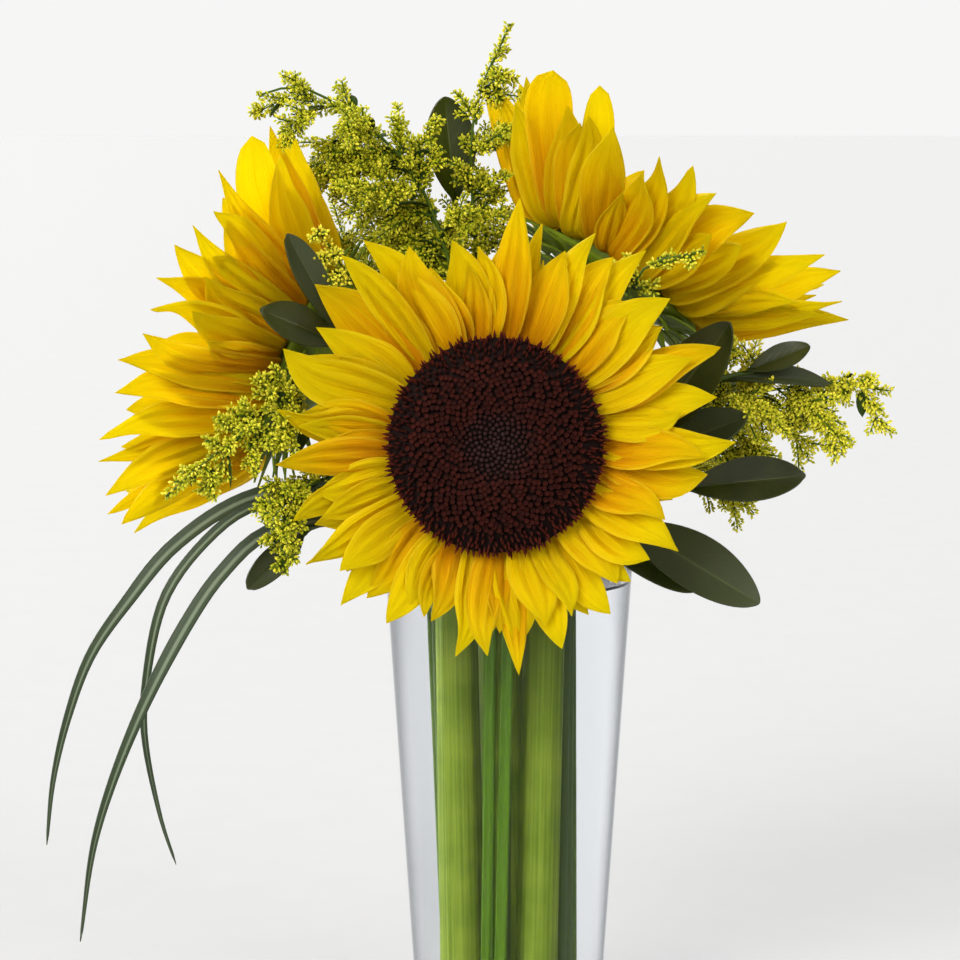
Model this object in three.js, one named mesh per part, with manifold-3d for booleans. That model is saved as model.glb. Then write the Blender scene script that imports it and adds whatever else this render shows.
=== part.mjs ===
// Three sunflowers in a tapered glass vase of water, with goldenrod, leafy stems and grass.
// Millimetres, +Z up. The origin is the centre of the vase's foot and the front faces -Y.

import * as THREE from 'three';
import { mergeVertices } from 'three/addons/utils/BufferGeometryUtils.js';
import Module from 'manifold-3d';

const wasm = await Module();
wasm.setup();
const { Manifold, Mesh } = wasm;

// Driving dimensions

const VASE_HEIGHT = 178;
const VASE_FOOT_RADIUS = 33;
const VASE_MOUTH_RADIUS = 45;
const VASE_WALL = 3.5;
const VASE_BASE = 14;
const VASE_ROUND = 1.4;
const VASE_SIDES = 40;
const WATER_LEVEL = 166;

const GAP = 0.35;
const LARGEST_SCRAP = 2;
const STEM_SPREAD = 0.85;
const STEM_TWIST = -0.18;

// A head is measured along its own axis from the level of the disc's rim, up towards its face
const DISC_RADIUS = 36.5;
const DISC_DOME = 8;
const DISC_DIMPLE = 3;
const DISC_FLORETS = 0.55;
const DISC_BOTTOM = -3;
const DISC_RINGS = 7;
const DISC_SIDES = 28;
const RING_INSIDE = 28;
const RING_OUTSIDE = 37.4;
const RING_TOP = -4.2;
const RING_BOTTOM = -8.8;
const RING_SIDES = 20;
const CUP_RADIUS = 35;
const CUP_DEPTH = 26;
const CUP_SIDES = 16;
const RAY_ROOT_RADIUS = 32;
const RAY_NECK_RADIUS = 38.5;
const RAY_LENGTH = 50;
const RAY_WIDTH = 16;
const RAY_THICKNESS = 1.5;
const RAYS_A_LAYER = 15;
const RAY_LAYERS = 2;
const BRACTS = 10;
const FLOWER_STEM_RADIUS = 6.1;

const TWIG_RADIUS = 1.7;
const BRANCH_RADIUS = 0.8;
const WHORL_RADIUS = 2.9;
const WHORL_SPACING = 9.5;
const LEAF_THICKNESS = 1.3;
const GRASS_THICKNESS = 1.3;

const GOLDEN_ANGLE = Math.PI * (3 - Math.sqrt(5));
const UP = new THREE.Vector3(0, 0, 1);

const point = (x, y, z) => new THREE.Vector3(x, y, z);
const degrees = THREE.MathUtils.degToRad;
const mix = THREE.MathUtils.lerp;

// A draw of numbers from 0 to 1 that is the same each time

function draws(seed) {
  const modulus = 2147483647;
  const factor = 16807;
  let state = seed;
  return () => {
    state = (state * factor) % modulus;
    return state / modulus;
  };
}

// Closed solids from rings of points

function solidOf(geometry) {
  geometry.deleteAttribute('normal');
  geometry.deleteAttribute('uv');
  const merged = mergeVertices(geometry, 1e-4);
  return new Manifold(new Mesh({
    numProp: 3,
    vertProperties: new Float32Array(merged.attributes.position.array),
    triVerts: new Uint32Array(merged.index.array),
  }));
}

// Rings run from root to tip; a ring of one point closes to a point there. Neighbouring quads
// are split towards each other, so the two faces of a thin blade have like triangles.
function loft(rings) {
  const corners = [];
  const triangles = [];
  const starts = rings.map((ring) => {
    const start = corners.length;
    corners.push(...ring);
    return start;
  });
  for (let k = 0; k + 1 < rings.length; k += 1) {
    const sides = Math.max(rings[k].length, rings[k + 1].length);
    for (let i = 0; i < sides; i += 1) {
      const j = (i + 1) % sides;
      const a = starts[k] + (rings[k].length > 1 ? i : 0);
      const b = starts[k] + (rings[k].length > 1 ? j : 0);
      const c = starts[k + 1] + (rings[k + 1].length > 1 ? j : 0);
      const d = starts[k + 1] + (rings[k + 1].length > 1 ? i : 0);
      const pair = i % 2 ? [[a, b, d], [b, c, d]] : [[a, b, c], [a, c, d]];
      pair.filter((t) => new Set(t).size === 3).forEach((t) => triangles.push(t));
    }
  }
  capRing(rings[0], starts[0], triangles, false);
  capRing(rings[rings.length - 1], starts[rings.length - 1], triangles, true);
  return outward(corners, triangles);
}

// A ring of four is closed across its ribs, and any other ring by a fan
function capRing(ring, start, triangles, last) {
  const fan = Array.from({ length: Math.max(0, ring.length - 2) }, (_, i) => [0, i + 1, i + 2]);
  const faces = ring.length === 4 ? [[0, 1, 3], [1, 2, 3]] : fan;
  faces.forEach((face) => {
    const [a, b, c] = face.map((n) => start + n);
    triangles.push(last ? [a, b, c] : [a, c, b]);
  });
}

function outward(corners, triangles) {
  let volume = 0;
  triangles.forEach(([a, b, c]) => {
    volume += corners[a].dot(new THREE.Vector3().crossVectors(corners[b], corners[c]));
  });
  const facing = volume < 0 ? triangles.map(([a, b, c]) => [a, c, b]) : triangles;
  return new Manifold(new Mesh({
    numProp: 3,
    vertProperties: new Float32Array(corners.flatMap((p) => [p.x, p.y, p.z])),
    triVerts: new Uint32Array(facing.flat()),
  }));
}

function lathe(profile, sides) {
  const geometry = new THREE.LatheGeometry(profile.map(([r, z]) => new THREE.Vector2(r, z)), sides);
  geometry.rotateX(Math.PI / 2);
  return solidOf(geometry);
}

// A tube through stations, its sides carried along without twist
function tube(stations, radiusAt, sides) {
  const last = stations.length - 1;
  let across = null;
  const rings = stations.map((centre, k) => {
    const ahead = stations[Math.min(k + 1, last)];
    const behind = stations[Math.max(k - 1, 0)];
    const along = ahead.clone().sub(behind).normalize();
    across = across ?? new THREE.Vector3(1, 0.2, 0);
    across = across.clone().addScaledVector(along, -across.dot(along)).normalize();
    const other = new THREE.Vector3().crossVectors(along, across);
    const radius = radiusAt(k / last);
    return Array.from({ length: sides }, (_, i) => {
      const turn = (2 * Math.PI * i) / sides;
      return centre.clone()
        .addScaledVector(across, radius * Math.cos(turn))
        .addScaledVector(other, radius * Math.sin(turn));
    });
  });
  return loft(rings);
}

// A blade with a keel: its two edges are thin, and its rib sinks below them by fold times width.
// spine lists points, face is the way the upper side looks, and widths go with the spine.
function blade(spine, face, widths, thickness, fold = 0.16) {
  const last = spine.length - 1;
  const rings = spine.map((centre, k) => {
    const along = spine[Math.min(k + 1, last)].clone().sub(spine[Math.max(k - 1, 0)]).normalize();
    const across = new THREE.Vector3().crossVectors(face, along).normalize();
    const above = new THREE.Vector3().crossVectors(along, across);
    const half = widths[k] / 2;
    if (half === 0) return [centre.clone()];
    const sunk = centre.clone().addScaledVector(above, -fold * half);
    const rib = Math.min(thickness, half) / 2;
    return [
      centre.clone().addScaledVector(across, -half),
      sunk.clone().addScaledVector(above, rib),
      centre.clone().addScaledVector(across, half),
      sunk.clone().addScaledVector(above, -rib),
    ];
  });
  return loft(rings);
}

// One body from pieces whose roots are sunk in each other; hollows are filled, scraps dropped
function fuse(pieces) {
  const bodies = Manifold.union(pieces).decompose();
  const [whole, next] = bodies.sort((one, two) => two.volume() - one.volume());
  if (next && next.volume() > LARGEST_SCRAP) throw new Error('a piece is not joined to the rest');
  return whole;
}

// Nodes and the room that they take

const bouquet = new THREE.Group();
const placed = [];

function near(a, b, room) {
  const one = a.boundingBox();
  const two = b.boundingBox();
  return [0, 1, 2].every((i) => one.min[i] - room < two.max[i] && two.min[i] - room < one.max[i]);
}

function isClear(piece) {
  return placed.every((other) => !near(piece, other, GAP) || piece.minGap(other, GAP) >= GAP * 0.99);
}

function add(name, solid, material) {
  const { vertProperties, triVerts } = solid.getMesh();
  const geometry = new THREE.BufferGeometry();
  geometry.setAttribute('position', new THREE.BufferAttribute(new Float32Array(vertProperties), 3));
  geometry.setIndex(new THREE.BufferAttribute(new Uint32Array(triVerts), 1));
  geometry.computeVertexNormals();
  const mesh = new THREE.Mesh(geometry, material);
  mesh.name = name;
  bouquet.add(mesh);
  placed.push(solid);
}

function finish(color, roughness, extra = {}) {
  return new THREE.MeshStandardMaterial({ color, roughness, metalness: 0, ...extra });
}

const GLASS = finish('#e8f1f2', 0.05, { transparent: true, opacity: 0.3 });
const WATER = finish('#dfe9e6', 0.05, { transparent: true, opacity: 0.25 });
const RAY_YELLOW = finish('#f5c400', 0.55);
const DISC_BROWN = finish('#2a100c', 0.9);
const STEM_GREEN = finish('#7fa044', 0.5);
const LEAF_GREEN = finish('#28401f', 0.4);
const GOLDENROD_YELLOW = finish('#b7b81f', 0.8);
const GRASS_GREEN = finish('#34502f', 0.35);

// Routes of the cut stems: straight from the vase's floor to its mouth, then a free curve

function routeOf([mouthX, mouthY], waypoints, steps, clearance = 1) {
  const mouth = point(mouthX, mouthY, VASE_HEIGHT);
  const cosine = Math.cos(STEM_TWIST);
  const sine = Math.sin(STEM_TWIST);
  const floor = point(
    STEM_SPREAD * (mouthX * cosine - mouthY * sine),
    STEM_SPREAD * (mouthX * sine + mouthY * cosine),
    VASE_BASE + clearance,
  );
  const rise = mouth.clone().sub(floor).normalize();
  const leaving = mouth.clone().addScaledVector(rise, 12);
  const upper = new THREE.CatmullRomCurve3([mouth, leaving, ...waypoints], false, 'centripetal');
  return { floor, mouth, rise, spine: upper.getSpacedPoints(steps) };
}

// The point at a share of the way along a spine of evenly spaced points, and the way it heads
function onSpine(spine, share) {
  const place = Math.min(share, 0.999) * (spine.length - 1);
  const k = Math.floor(place);
  return {
    foot: spine[k].clone().lerp(spine[k + 1], place - k),
    along: spine[k + 1].clone().sub(spine[k]).normalize(),
  };
}

const holes = [];

// The stem's solid; the water gets a plain round hole for it
function stemAlong(route, radiusLow, radiusHigh, sides) {
  const stations = [route.floor, ...route.spine];
  const below = route.floor.clone().addScaledVector(route.rise, -5);
  holes.push(tube([below, route.mouth], () => radiusLow + GAP, sides));
  return tube(stations, (t) => mix(radiusLow, radiusHigh, t), sides);
}

// Vase

const slope = (VASE_MOUTH_RADIUS - VASE_FOOT_RADIUS) / VASE_HEIGHT;
const outsideAt = (z) => VASE_FOOT_RADIUS + slope * z;
const insideAt = (z) => outsideAt(z) - VASE_WALL;

function vase() {
  const top = VASE_HEIGHT;
  return lathe([
    [0, 0],
    [VASE_FOOT_RADIUS - VASE_ROUND, 0],
    [outsideAt(VASE_ROUND), VASE_ROUND],
    [outsideAt(top - VASE_ROUND), top - VASE_ROUND],
    [outsideAt(top) - VASE_WALL / 2, top],
    [insideAt(top - VASE_ROUND), top - VASE_ROUND],
    [insideAt(VASE_BASE + VASE_ROUND), VASE_BASE + VASE_ROUND],
    [insideAt(VASE_BASE) - VASE_ROUND, VASE_BASE],
    [0, VASE_BASE],
  ], VASE_SIDES);
}

function water() {
  const bottom = VASE_BASE + GAP;
  const knee = VASE_BASE + VASE_ROUND;
  const body = lathe([
    [0, bottom],
    [insideAt(VASE_BASE) - VASE_ROUND - GAP / 2, bottom],
    [insideAt(knee) - GAP, knee],
    [insideAt(WATER_LEVEL) - GAP, WATER_LEVEL],
    [0, WATER_LEVEL],
  ], VASE_SIDES);
  return body.subtract(Manifold.union(holes));
}

// Sunflower heads, built facing local +Z with the rays' root at the local origin's level

function headFrame(centre, facing) {
  const z = facing.clone().normalize();
  const y = UP.clone().addScaledVector(z, -UP.dot(z)).normalize();
  const x = new THREE.Vector3().crossVectors(y, z);
  return new THREE.Matrix4().makeBasis(x, y, z).setPosition(centre);
}

const placedBy = (solid, frame) => solid.transform(frame.elements);

// The face of the disc: a low dome with a dimple, raised in rows of florets
function discHeight(r, turn) {
  const t = r / DISC_RADIUS;
  const dome = DISC_DOME * (1 - t ** 4) - DISC_DIMPLE * Math.exp(-((t / 0.3) ** 2));
  const florets = Math.cos(21 * turn + 16 * t) * Math.cos(13 * turn - 11 * t);
  return dome + DISC_FLORETS * florets * Math.min(1, 3 * t);
}

function disc() {
  const rings = [[point(0, 0, discHeight(0, 0))]];
  for (let k = 1; k <= DISC_RINGS; k += 1) {
    const r = DISC_RADIUS * (k / DISC_RINGS) ** 0.8;
    rings.push(Array.from({ length: DISC_SIDES }, (_, i) => {
      const turn = (2 * Math.PI * (i + (k % 2) / 2)) / DISC_SIDES;
      return point(r * Math.cos(turn), r * Math.sin(turn), discHeight(r, turn));
    }));
  }
  const rim = rings[rings.length - 1];
  rings.push(rim.map((p) => point(0.94 * p.x, 0.94 * p.y, DISC_BOTTOM)));
  rings.push([point(0, 0, DISC_BOTTOM)]);
  return loft(rings);
}

// One ray: it leaves the ring nearly level, then rises by lift degrees and curls by curl degrees
function ray(turn, layer, length, width, lift, curl, roll) {
  const out = point(Math.cos(turn), Math.sin(turn), 0);
  const side = point(-Math.sin(turn), Math.cos(turn), 0);
  const spine = [
    out.clone().multiplyScalar(RAY_ROOT_RADIUS).setZ(-5.3 - 1.8 * layer),
    out.clone().multiplyScalar(RAY_NECK_RADIUS).setZ(-4 - 2.4 * layer),
  ];
  const shares = [0.68, 0.32];
  shares.forEach((share, k) => {
    const angle = degrees(lift + curl * k);
    spine.push(spine[spine.length - 1].clone()
      .addScaledVector(out, share * length * Math.cos(angle))
      .addScaledVector(UP, share * length * Math.sin(angle)));
  });
  const face = UP.clone().addScaledVector(side, Math.sin(degrees(roll)));
  const widths = [0.42, 0.76, 1, 0].map((w) => w * width);
  return blade(spine, face, widths, RAY_THICKNESS);
}

// The rays grow from a ring under the disc's edge, in an inner layer and a flatter outer one
function rays({ seed, lift, spread, sizes }) {
  const draw = draws(seed);
  const pieces = [lathe([
    [RING_INSIDE, RING_BOTTOM], [RING_OUTSIDE, RING_BOTTOM],
    [RING_OUTSIDE, RING_TOP], [RING_INSIDE, RING_TOP], [RING_INSIDE, RING_BOTTOM],
  ], RING_SIDES)];
  for (let layer = 0; layer < RAY_LAYERS; layer += 1) {
    for (let i = 0; i < RAYS_A_LAYER; i += 1) {
      const turn = (2 * Math.PI * (i + layer / 2 + 0.24 * (draw() - 0.5))) / RAYS_A_LAYER;
      const length = RAY_LENGTH * sizes * (0.82 + 0.3 * draw() + 0.06 * layer);
      const width = RAY_WIDTH * (0.85 + 0.3 * draw());
      const rise = lift - spread * layer + 7 * (draw() - 0.5);
      const curl = -5 - 9 * draw();
      const roll = 22 + 4 * (draw() - 0.5);
      pieces.push(ray(turn, layer, length, width, rise, curl, roll));
    }
  }
  return fuse(pieces);
}

// The green cup behind the rays, with its pointed bracts
function calyx({ seed, sweep }) {
  const draw = draws(seed + 7);
  const cup = lathe([
    [0, -CUP_DEPTH], [FLOWER_STEM_RADIUS + 0.5, -CUP_DEPTH], [0.4 * CUP_RADIUS, -0.7 * CUP_DEPTH],
    [CUP_RADIUS, RING_BOTTOM - 5 * GAP], [CUP_RADIUS, RING_BOTTOM - 1.4 * GAP],
    [RING_INSIDE - 2 * GAP, RING_BOTTOM - 1.4 * GAP], [RING_INSIDE - 2 * GAP, DISC_BOTTOM - GAP],
    [0, DISC_BOTTOM - GAP],
  ], CUP_SIDES);
  const pieces = [cup];
  for (let i = 0; i < BRACTS; i += 1) {
    const turn = (2 * Math.PI * (i + 0.4 * draw())) / BRACTS;
    const out = point(Math.cos(turn), Math.sin(turn), 0);
    const length = 20 + 7 * draw();
    const spine = [out.clone().multiplyScalar(0.77 * CUP_RADIUS).setZ(RING_BOTTOM - 4)];
    [0.4, 0.6].forEach((share, k) => {
      const angle = degrees(sweep - 8 * k + 6 * (draw() - 0.5));
      spine.push(spine[spine.length - 1].clone()
        .addScaledVector(out, share * length * Math.cos(angle))
        .addScaledVector(UP, share * length * Math.sin(angle)));
    });
    pieces.push(blade(spine, UP, [9, 8, 0], 1.4));
  }
  return fuse(pieces);
}

function sunflower(name, options) {
  const { centre, facing, mouth, neck } = options;
  const frame = headFrame(centre, facing);
  const back = facing.clone().normalize().negate();
  const into = centre.clone().addScaledVector(back, CUP_DEPTH - 4);
  const nape = centre.clone().addScaledVector(back, CUP_DEPTH + 10).add(neck);
  const route = routeOf(mouth, [nape, into], 7, 1.4);
  const stem = stemAlong(route, FLOWER_STEM_RADIUS, FLOWER_STEM_RADIUS * 0.9, 10);
  add(`${name}_stem`, fuse([stem, placedBy(calyx(options), frame)]), STEM_GREEN);
  add(`${name}_rays`, placedBy(rays(options), frame), RAY_YELLOW);
  add(`${name}_disc`, placedBy(disc(), frame), DISC_BROWN);
}

// Leafy stems: a twig with oval leaves on short stalks

function leaf(foot, tip, width, face) {
  const along = tip.clone().sub(foot);
  const length = along.length();
  const sag = face.clone().addScaledVector(along, -face.dot(along) / length ** 2).normalize();
  const stations = [0, 0.14, 0.4, 0.74, 1];
  const widths = [0.09, 0.16, 0.95, 0.88, 0].map((w) => w * width);
  const spine = stations.map((t) => foot.clone().addScaledVector(along, t)
    .addScaledVector(sag, 0.07 * length * Math.sin(Math.PI * t)));
  return blade(spine, face, widths, LEAF_THICKNESS, 0.2);
}

function leafyStem(name, { mouth, way, leaves }) {
  const route = routeOf(mouth, way.map((p) => point(...p)), 6);
  const pieces = [stemAlong(route, TWIG_RADIUS, 0.9, 4)];
  leaves.forEach(({ at, tip, width, face }) => {
    pieces.push(leaf(onSpine(route.spine, at).foot, point(...tip), width, point(...face)));
  });
  add(name, fuse(pieces), LEAF_GREEN);
}

// Goldenrod: side branches up an arching stem, each set with pointed florets

// The way out from a stem that heads along, at a turn round it
function outwardOf(along, turn) {
  const aside = point(0.2, 0.9, 0.3);
  const across = new THREE.Vector3().crossVectors(along, aside).normalize();
  const other = new THREE.Vector3().crossVectors(along, across);
  return across.multiplyScalar(Math.cos(turn)).addScaledVector(other, Math.sin(turn));
}

// A side branch swells and narrows along its length: each swelling is a whorl of four florets,
// their tips leaning forward, turned half a step from the whorl before
function branch(foot, along, out, length, droop) {
  const way = along.clone().multiplyScalar(0.75).addScaledVector(out, 0.8).normalize();
  const middle = foot.clone().addScaledVector(way, 0.55 * length);
  const tip = foot.clone().addScaledVector(way, length).addScaledVector(UP, -droop * length);
  const curve = new THREE.QuadraticBezierCurve3(foot, middle, tip);
  const whorls = Math.max(2, Math.round(length / WHORL_SPACING));
  const rings = [];
  for (let i = 0; i < whorls; i += 1) {
    const low = mix(0, 0.9, i / whorls);
    const high = mix(0, 0.9, (i + 0.85) / whorls);
    const wide = WHORL_RADIUS * (1 - 0.45 * (i / whorls));
    rings.push(squareRing(curve.getPoint(low), curve.getTangent(low), BRANCH_RADIUS, i / 2));
    rings.push(squareRing(curve.getPoint(high), curve.getTangent(high), wide, i / 2 + 0.25));
  }
  rings.push([tip]);
  return loft(rings);
}

function squareRing(centre, along, radius, quarter) {
  return [0, 1, 2, 3].map((i) => centre.clone()
    .addScaledVector(outwardOf(along, ((i + quarter) * Math.PI) / 2), radius));
}

function spray(name, { mouth, way, from, branches, reach, droop, seed }) {
  const draw = draws(seed);
  const route = routeOf(mouth, way.map((p) => point(...p)), 7);
  const pieces = [stemAlong(route, TWIG_RADIUS, 0.7, 4)];
  for (let i = 0; i < branches; i += 1) {
    const share = i / (branches - 1);
    const t = mix(from, 0.985, share);
    const { foot, along } = onSpine(route.spine, t);
    const length = reach * (1 - 0.62 * share ** 1.6) * (0.8 + 0.4 * draw());
    const turn = i * GOLDEN_ANGLE + 0.5 * draw();
    const tries = [0, 0.5, -0.5, 1, -1, 1.6, -1.6, 2.3, -2.3, 3.1];
    const fits = tries
      .map((step) => branch(foot, along, outwardOf(along, turn + step), length, droop))
      .find(isClear);
    const short = () => branch(foot, along, outwardOf(along, turn), 0.45 * length, droop);
    const chosen = fits ?? [short()].find(isClear);
    if (chosen) pieces.push(chosen);
  }
  add(name, fuse(pieces), GOLDENROD_YELLOW);
}

// Long grass: one keeled blade each, from the vase's floor over its rim

function grass(name, { mouth, way, width, face }) {
  const steps = 12;
  const route = routeOf(mouth, way.map((p) => point(...p)), steps);
  const spine = [route.floor, ...route.spine];
  const widths = spine.map((_, k) => {
    const t = Math.max(0, (k - 1) / steps);
    return k === spine.length - 1 ? 0 : width * Math.min(0.55 + 1.5 * t, 1, 2.4 * (1.02 - t));
  });
  const below = route.floor.clone().addScaledVector(route.rise, -5);
  holes.push(tube([below, route.mouth], () => 0.36 * width + GAP, 6));
  add(name, blade(spine, point(...face), widths, GRASS_THICKNESS, 0.3), GRASS_GREEN);
}

// What the vase holds, each with the point where it passes the mouth

add('vase', vase(), GLASS);

const FLOWERS = {
  front_flower: {
    centre: point(-5, -75, 224), facing: point(0, -1, 0.1), mouth: [10.5, -6],
    neck: point(0, 4, -4), lift: 24, spread: 17, sizes: 0.8, sweep: -14, seed: 11,
  },
  left_flower: {
    centre: point(-84, -4, 249), facing: point(-0.92, 0.14, 0.35), mouth: [-14.5, 0],
    neck: point(2, 0, -6), lift: 50, spread: 13, sizes: 1.06, sweep: 0, seed: 23,
  },
  back_flower: {
    centre: point(44, 15, 283), facing: point(0.55, 0.12, 0.83), mouth: [-2, 14],
    neck: point(0, 0, -3), lift: 50, spread: 13, sizes: 0.96, sweep: 0, seed: 37,
  },
};
Object.entries(FLOWERS).forEach(([name, options]) => sunflower(name, options));

const LEAFY_STEMS = {
  leafy_stem_top: {
    mouth: [-14, 20.5],
    way: [[-20, 32, 240], [-19, 22, 296], [-20, 21, 303]],
    leaves: [
      { at: 0.97, tip: [-23, 20, 340], width: 19, face: [0.3, -1, 0.1] },
      { at: 0.7, tip: [-48, 34, 290], width: 15, face: [-0.2, 0.5, 0.9] },
      { at: 0.62, tip: [6, 52, 278], width: 15, face: [0.2, 0.7, 0.8] },
    ],
  },
  leafy_stem_left: {
    mouth: [0, -15.5],
    way: [[-40, -38, 222], [-54, -52, 252], [-60, -57, 262]],
    leaves: [
      { at: 0.98, tip: [-76, -60, 295], width: 11, face: [0.4, -1, 0.3] },
      { at: 0.93, tip: [-85, -63, 269], width: 14, face: [0.1, -1, 0.5] },
    ],
  },
  leafy_stem_right: {
    mouth: [15.5, 10],
    way: [[44, -18, 214], [54, -27, 234], [74, -24, 242], [86, -21, 244]],
    leaves: [
      { at: 0.5, tip: [77, -38, 263], width: 21, face: [-0.1, -1, 0.3] },
      { at: 0.42, tip: [83, -36, 230], width: 17, face: [0.1, -1, 0.5] },
      { at: 0.97, tip: [106, -22, 253], width: 10, face: [0, -0.9, 0.6] },
      { at: 0.9, tip: [114, -16, 240], width: 9, face: [0.2, -0.6, 0.8] },
    ],
  },
  leafy_stem_low_right: {
    mouth: [15.5, 4.5],
    way: [[38, -32, 194], [50, -31, 200], [60, -27, 203]],
    leaves: [
      { at: 0.98, tip: [104, -26, 208], width: 17, face: [0, -0.9, 0.5] },
      { at: 0.68, tip: [87, -47, 165], width: 20, face: [0.3, -1, 0.3] },
      { at: 0.3, tip: [64, -45, 169], width: 14, face: [0, -0.9, 0.5] },
    ],
  },
  leafy_stem_low_left: {
    mouth: [-18.5, 12],
    way: [[-52, -30, 196], [-66, -44, 194], [-72, -50, 190]],
    leaves: [
      { at: 0.98, tip: [-91, -56, 172], width: 10, face: [0, -1, 0.4] },
      { at: 0.6, tip: [-80, -22, 186], width: 13, face: [0, 0.3, 1] },
    ],
  },
  leafy_stem_back: {
    mouth: [-8.5, 23.5],
    way: [[-14, 52, 210], [-24, 66, 232], [-30, 74, 246]],
    leaves: [
      { at: 0.98, tip: [-40, 92, 276], width: 17, face: [0, 0.8, 0.6] },
      { at: 0.75, tip: [-62, 70, 226], width: 18, face: [-0.3, 0.6, 0.7] },
      { at: 0.6, tip: [8, 84, 216], width: 18, face: [0.2, 0.6, 0.7] },
      { at: 0.4, tip: [-38, 70, 196], width: 15, face: [-0.2, 0.6, 0.7] },
    ],
  },
  leafy_stem_back_right: {
    mouth: [10.5, 21],
    way: [[44, 36, 198], [58, 50, 210], [64, 56, 216]],
    leaves: [
      { at: 0.98, tip: [92, 72, 232], width: 17, face: [0.4, 0.6, 0.7] },
      { at: 0.75, tip: [94, 40, 202], width: 17, face: [0.5, 0.3, 0.8] },
      { at: 0.6, tip: [42, 82, 200], width: 16, face: [0.1, 0.6, 0.7] },
    ],
  },
};
Object.entries(LEAFY_STEMS).forEach(([name, options]) => leafyStem(name, options));

const GRASSES = {
  grass_blade_outer: {
    mouth: [-5.5, -9],
    way: [[-64, -34, 205], [-92, -44, 202], [-117, -48, 186], [-133, -50, 167], [-146, -50, 148],
      [-154, -50, 127], [-160, -48, 103], [-163, -45, 79]],
    width: 5, face: [-0.5, -0.7, 0.6],
  },
  grass_blade_thin: {
    mouth: [-5.5, -20],
    way: [[-56, -46, 205], [-90, -53, 200], [-105, -56, 189], [-119, -60, 170], [-126, -60, 140],
      [-127, -58, 122], [-122, -54, 91], [-117, -50, 73]],
    width: 3.4, face: [-0.4, -0.8, 0.5],
  },
  grass_blade_lower: {
    mouth: [0, -21],
    way: [[-50, -52, 197], [-84, -59, 192], [-99, -62, 179], [-111, -66, 162], [-129, -70, 127],
      [-143, -68, 88], [-150, -60, 48]],
    width: 5, face: [-0.5, -0.7, 0.6],
  },
};
Object.entries(GRASSES).forEach(([name, options]) => grass(name, options));

const SPRAYS = {
  goldenrod_top_left: {
    mouth: [-12.6, 13.5], way: [[-14, 8, 230], [-21, 0, 280], [-36, -4, 316], [-56, -10, 334],
      [-74, -14, 344], [-88, -18, 341]],
    from: 0.5, branches: 12, reach: 40, droop: 0.35, seed: 101,
  },
  goldenrod_top: {
    mouth: [-2.5, 25.5], way: [[-7, 22, 240], [-13, 12, 300], [-12, 10, 336], [0.3, 7, 366]],
    from: 0.5, branches: 9, reach: 24, droop: 0, seed: 131,
  },
  goldenrod_left: {
    mouth: [0, -10], way: [[-54, -44, 222], [-76, -64, 233], [-94, -82, 226], [-116, -87, 208]],
    from: 0.45, branches: 8, reach: 24, droop: 0.25, seed: 151,
  },
  goldenrod_low_left: {
    mouth: [-5.5, -14.5], way: [[-56, -48, 210], [-70, -66, 208], [-78, -72, 194], [-77, -74, 180]],
    from: 0.5, branches: 6, reach: 16, droop: 0.2, seed: 173,
  },
  goldenrod_right: {
    mouth: [15.5, 15.5], way: [[50, -2, 214], [75, -8, 231], [96, -10, 237], [120, -10, 239],
      [136, -10, 236]],
    from: 0.4, branches: 11, reach: 38, droop: 0.3, seed: 191,
  },
  goldenrod_upper_right: {
    mouth: [10, 5.5], way: [[38, -38, 228], [38, -50, 262], [46, -57, 283], [66, -60, 289]],
    from: 0.72, branches: 4, reach: 12, droop: 0, seed: 211,
  },
  goldenrod_upper_left: {
    mouth: [0, -4.5], way: [[-36, -38, 226], [-46, -44, 262], [-58, -50, 284], [-66, -54, 296]],
    from: 0.7, branches: 5, reach: 14, droop: 0, seed: 229,
  },
  goldenrod_back_left: {
    mouth: [-19, 18], way: [[-40, 44, 230], [-56, 62, 270], [-66, 72, 300]],
    from: 0.42, branches: 6, reach: 30, droop: 0.15, seed: 251,
  },
  goldenrod_back: {
    mouth: [4, 24.5], way: [[10, 48, 230], [6, 64, 270], [2, 70, 310]],
    from: 0.42, branches: 6, reach: 30, droop: 0.15, seed: 271,
  },
};
Object.entries(SPRAYS).forEach(([name, options]) => spray(name, options));

add('water', water(), WATER);

export default bouquet;
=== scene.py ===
import random
from math import atan2, cos, degrees, exp, hypot, pi, radians, remainder, sin, sqrt

import bmesh
import bpy
from mathutils import Matrix, Vector
from mathutils.bvhtree import BVHTree


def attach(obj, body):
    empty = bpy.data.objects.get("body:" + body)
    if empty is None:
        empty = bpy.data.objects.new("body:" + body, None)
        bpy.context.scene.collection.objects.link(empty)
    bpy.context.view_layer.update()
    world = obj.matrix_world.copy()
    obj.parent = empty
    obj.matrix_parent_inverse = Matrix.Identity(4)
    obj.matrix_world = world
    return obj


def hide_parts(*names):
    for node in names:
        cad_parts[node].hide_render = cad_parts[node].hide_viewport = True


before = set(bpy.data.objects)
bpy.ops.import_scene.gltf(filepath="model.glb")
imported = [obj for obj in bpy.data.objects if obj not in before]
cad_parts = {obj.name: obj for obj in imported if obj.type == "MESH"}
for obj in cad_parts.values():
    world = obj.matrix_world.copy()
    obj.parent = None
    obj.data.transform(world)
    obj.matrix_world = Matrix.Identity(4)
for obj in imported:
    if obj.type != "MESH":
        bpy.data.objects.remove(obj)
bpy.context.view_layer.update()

# Camera, floor and light
# The bouquet stands on matt pale card in a white studio, lit by a soft key from the left,
# a fill from the right and a rim light from behind. The camera looks at the blooms' height.

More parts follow.
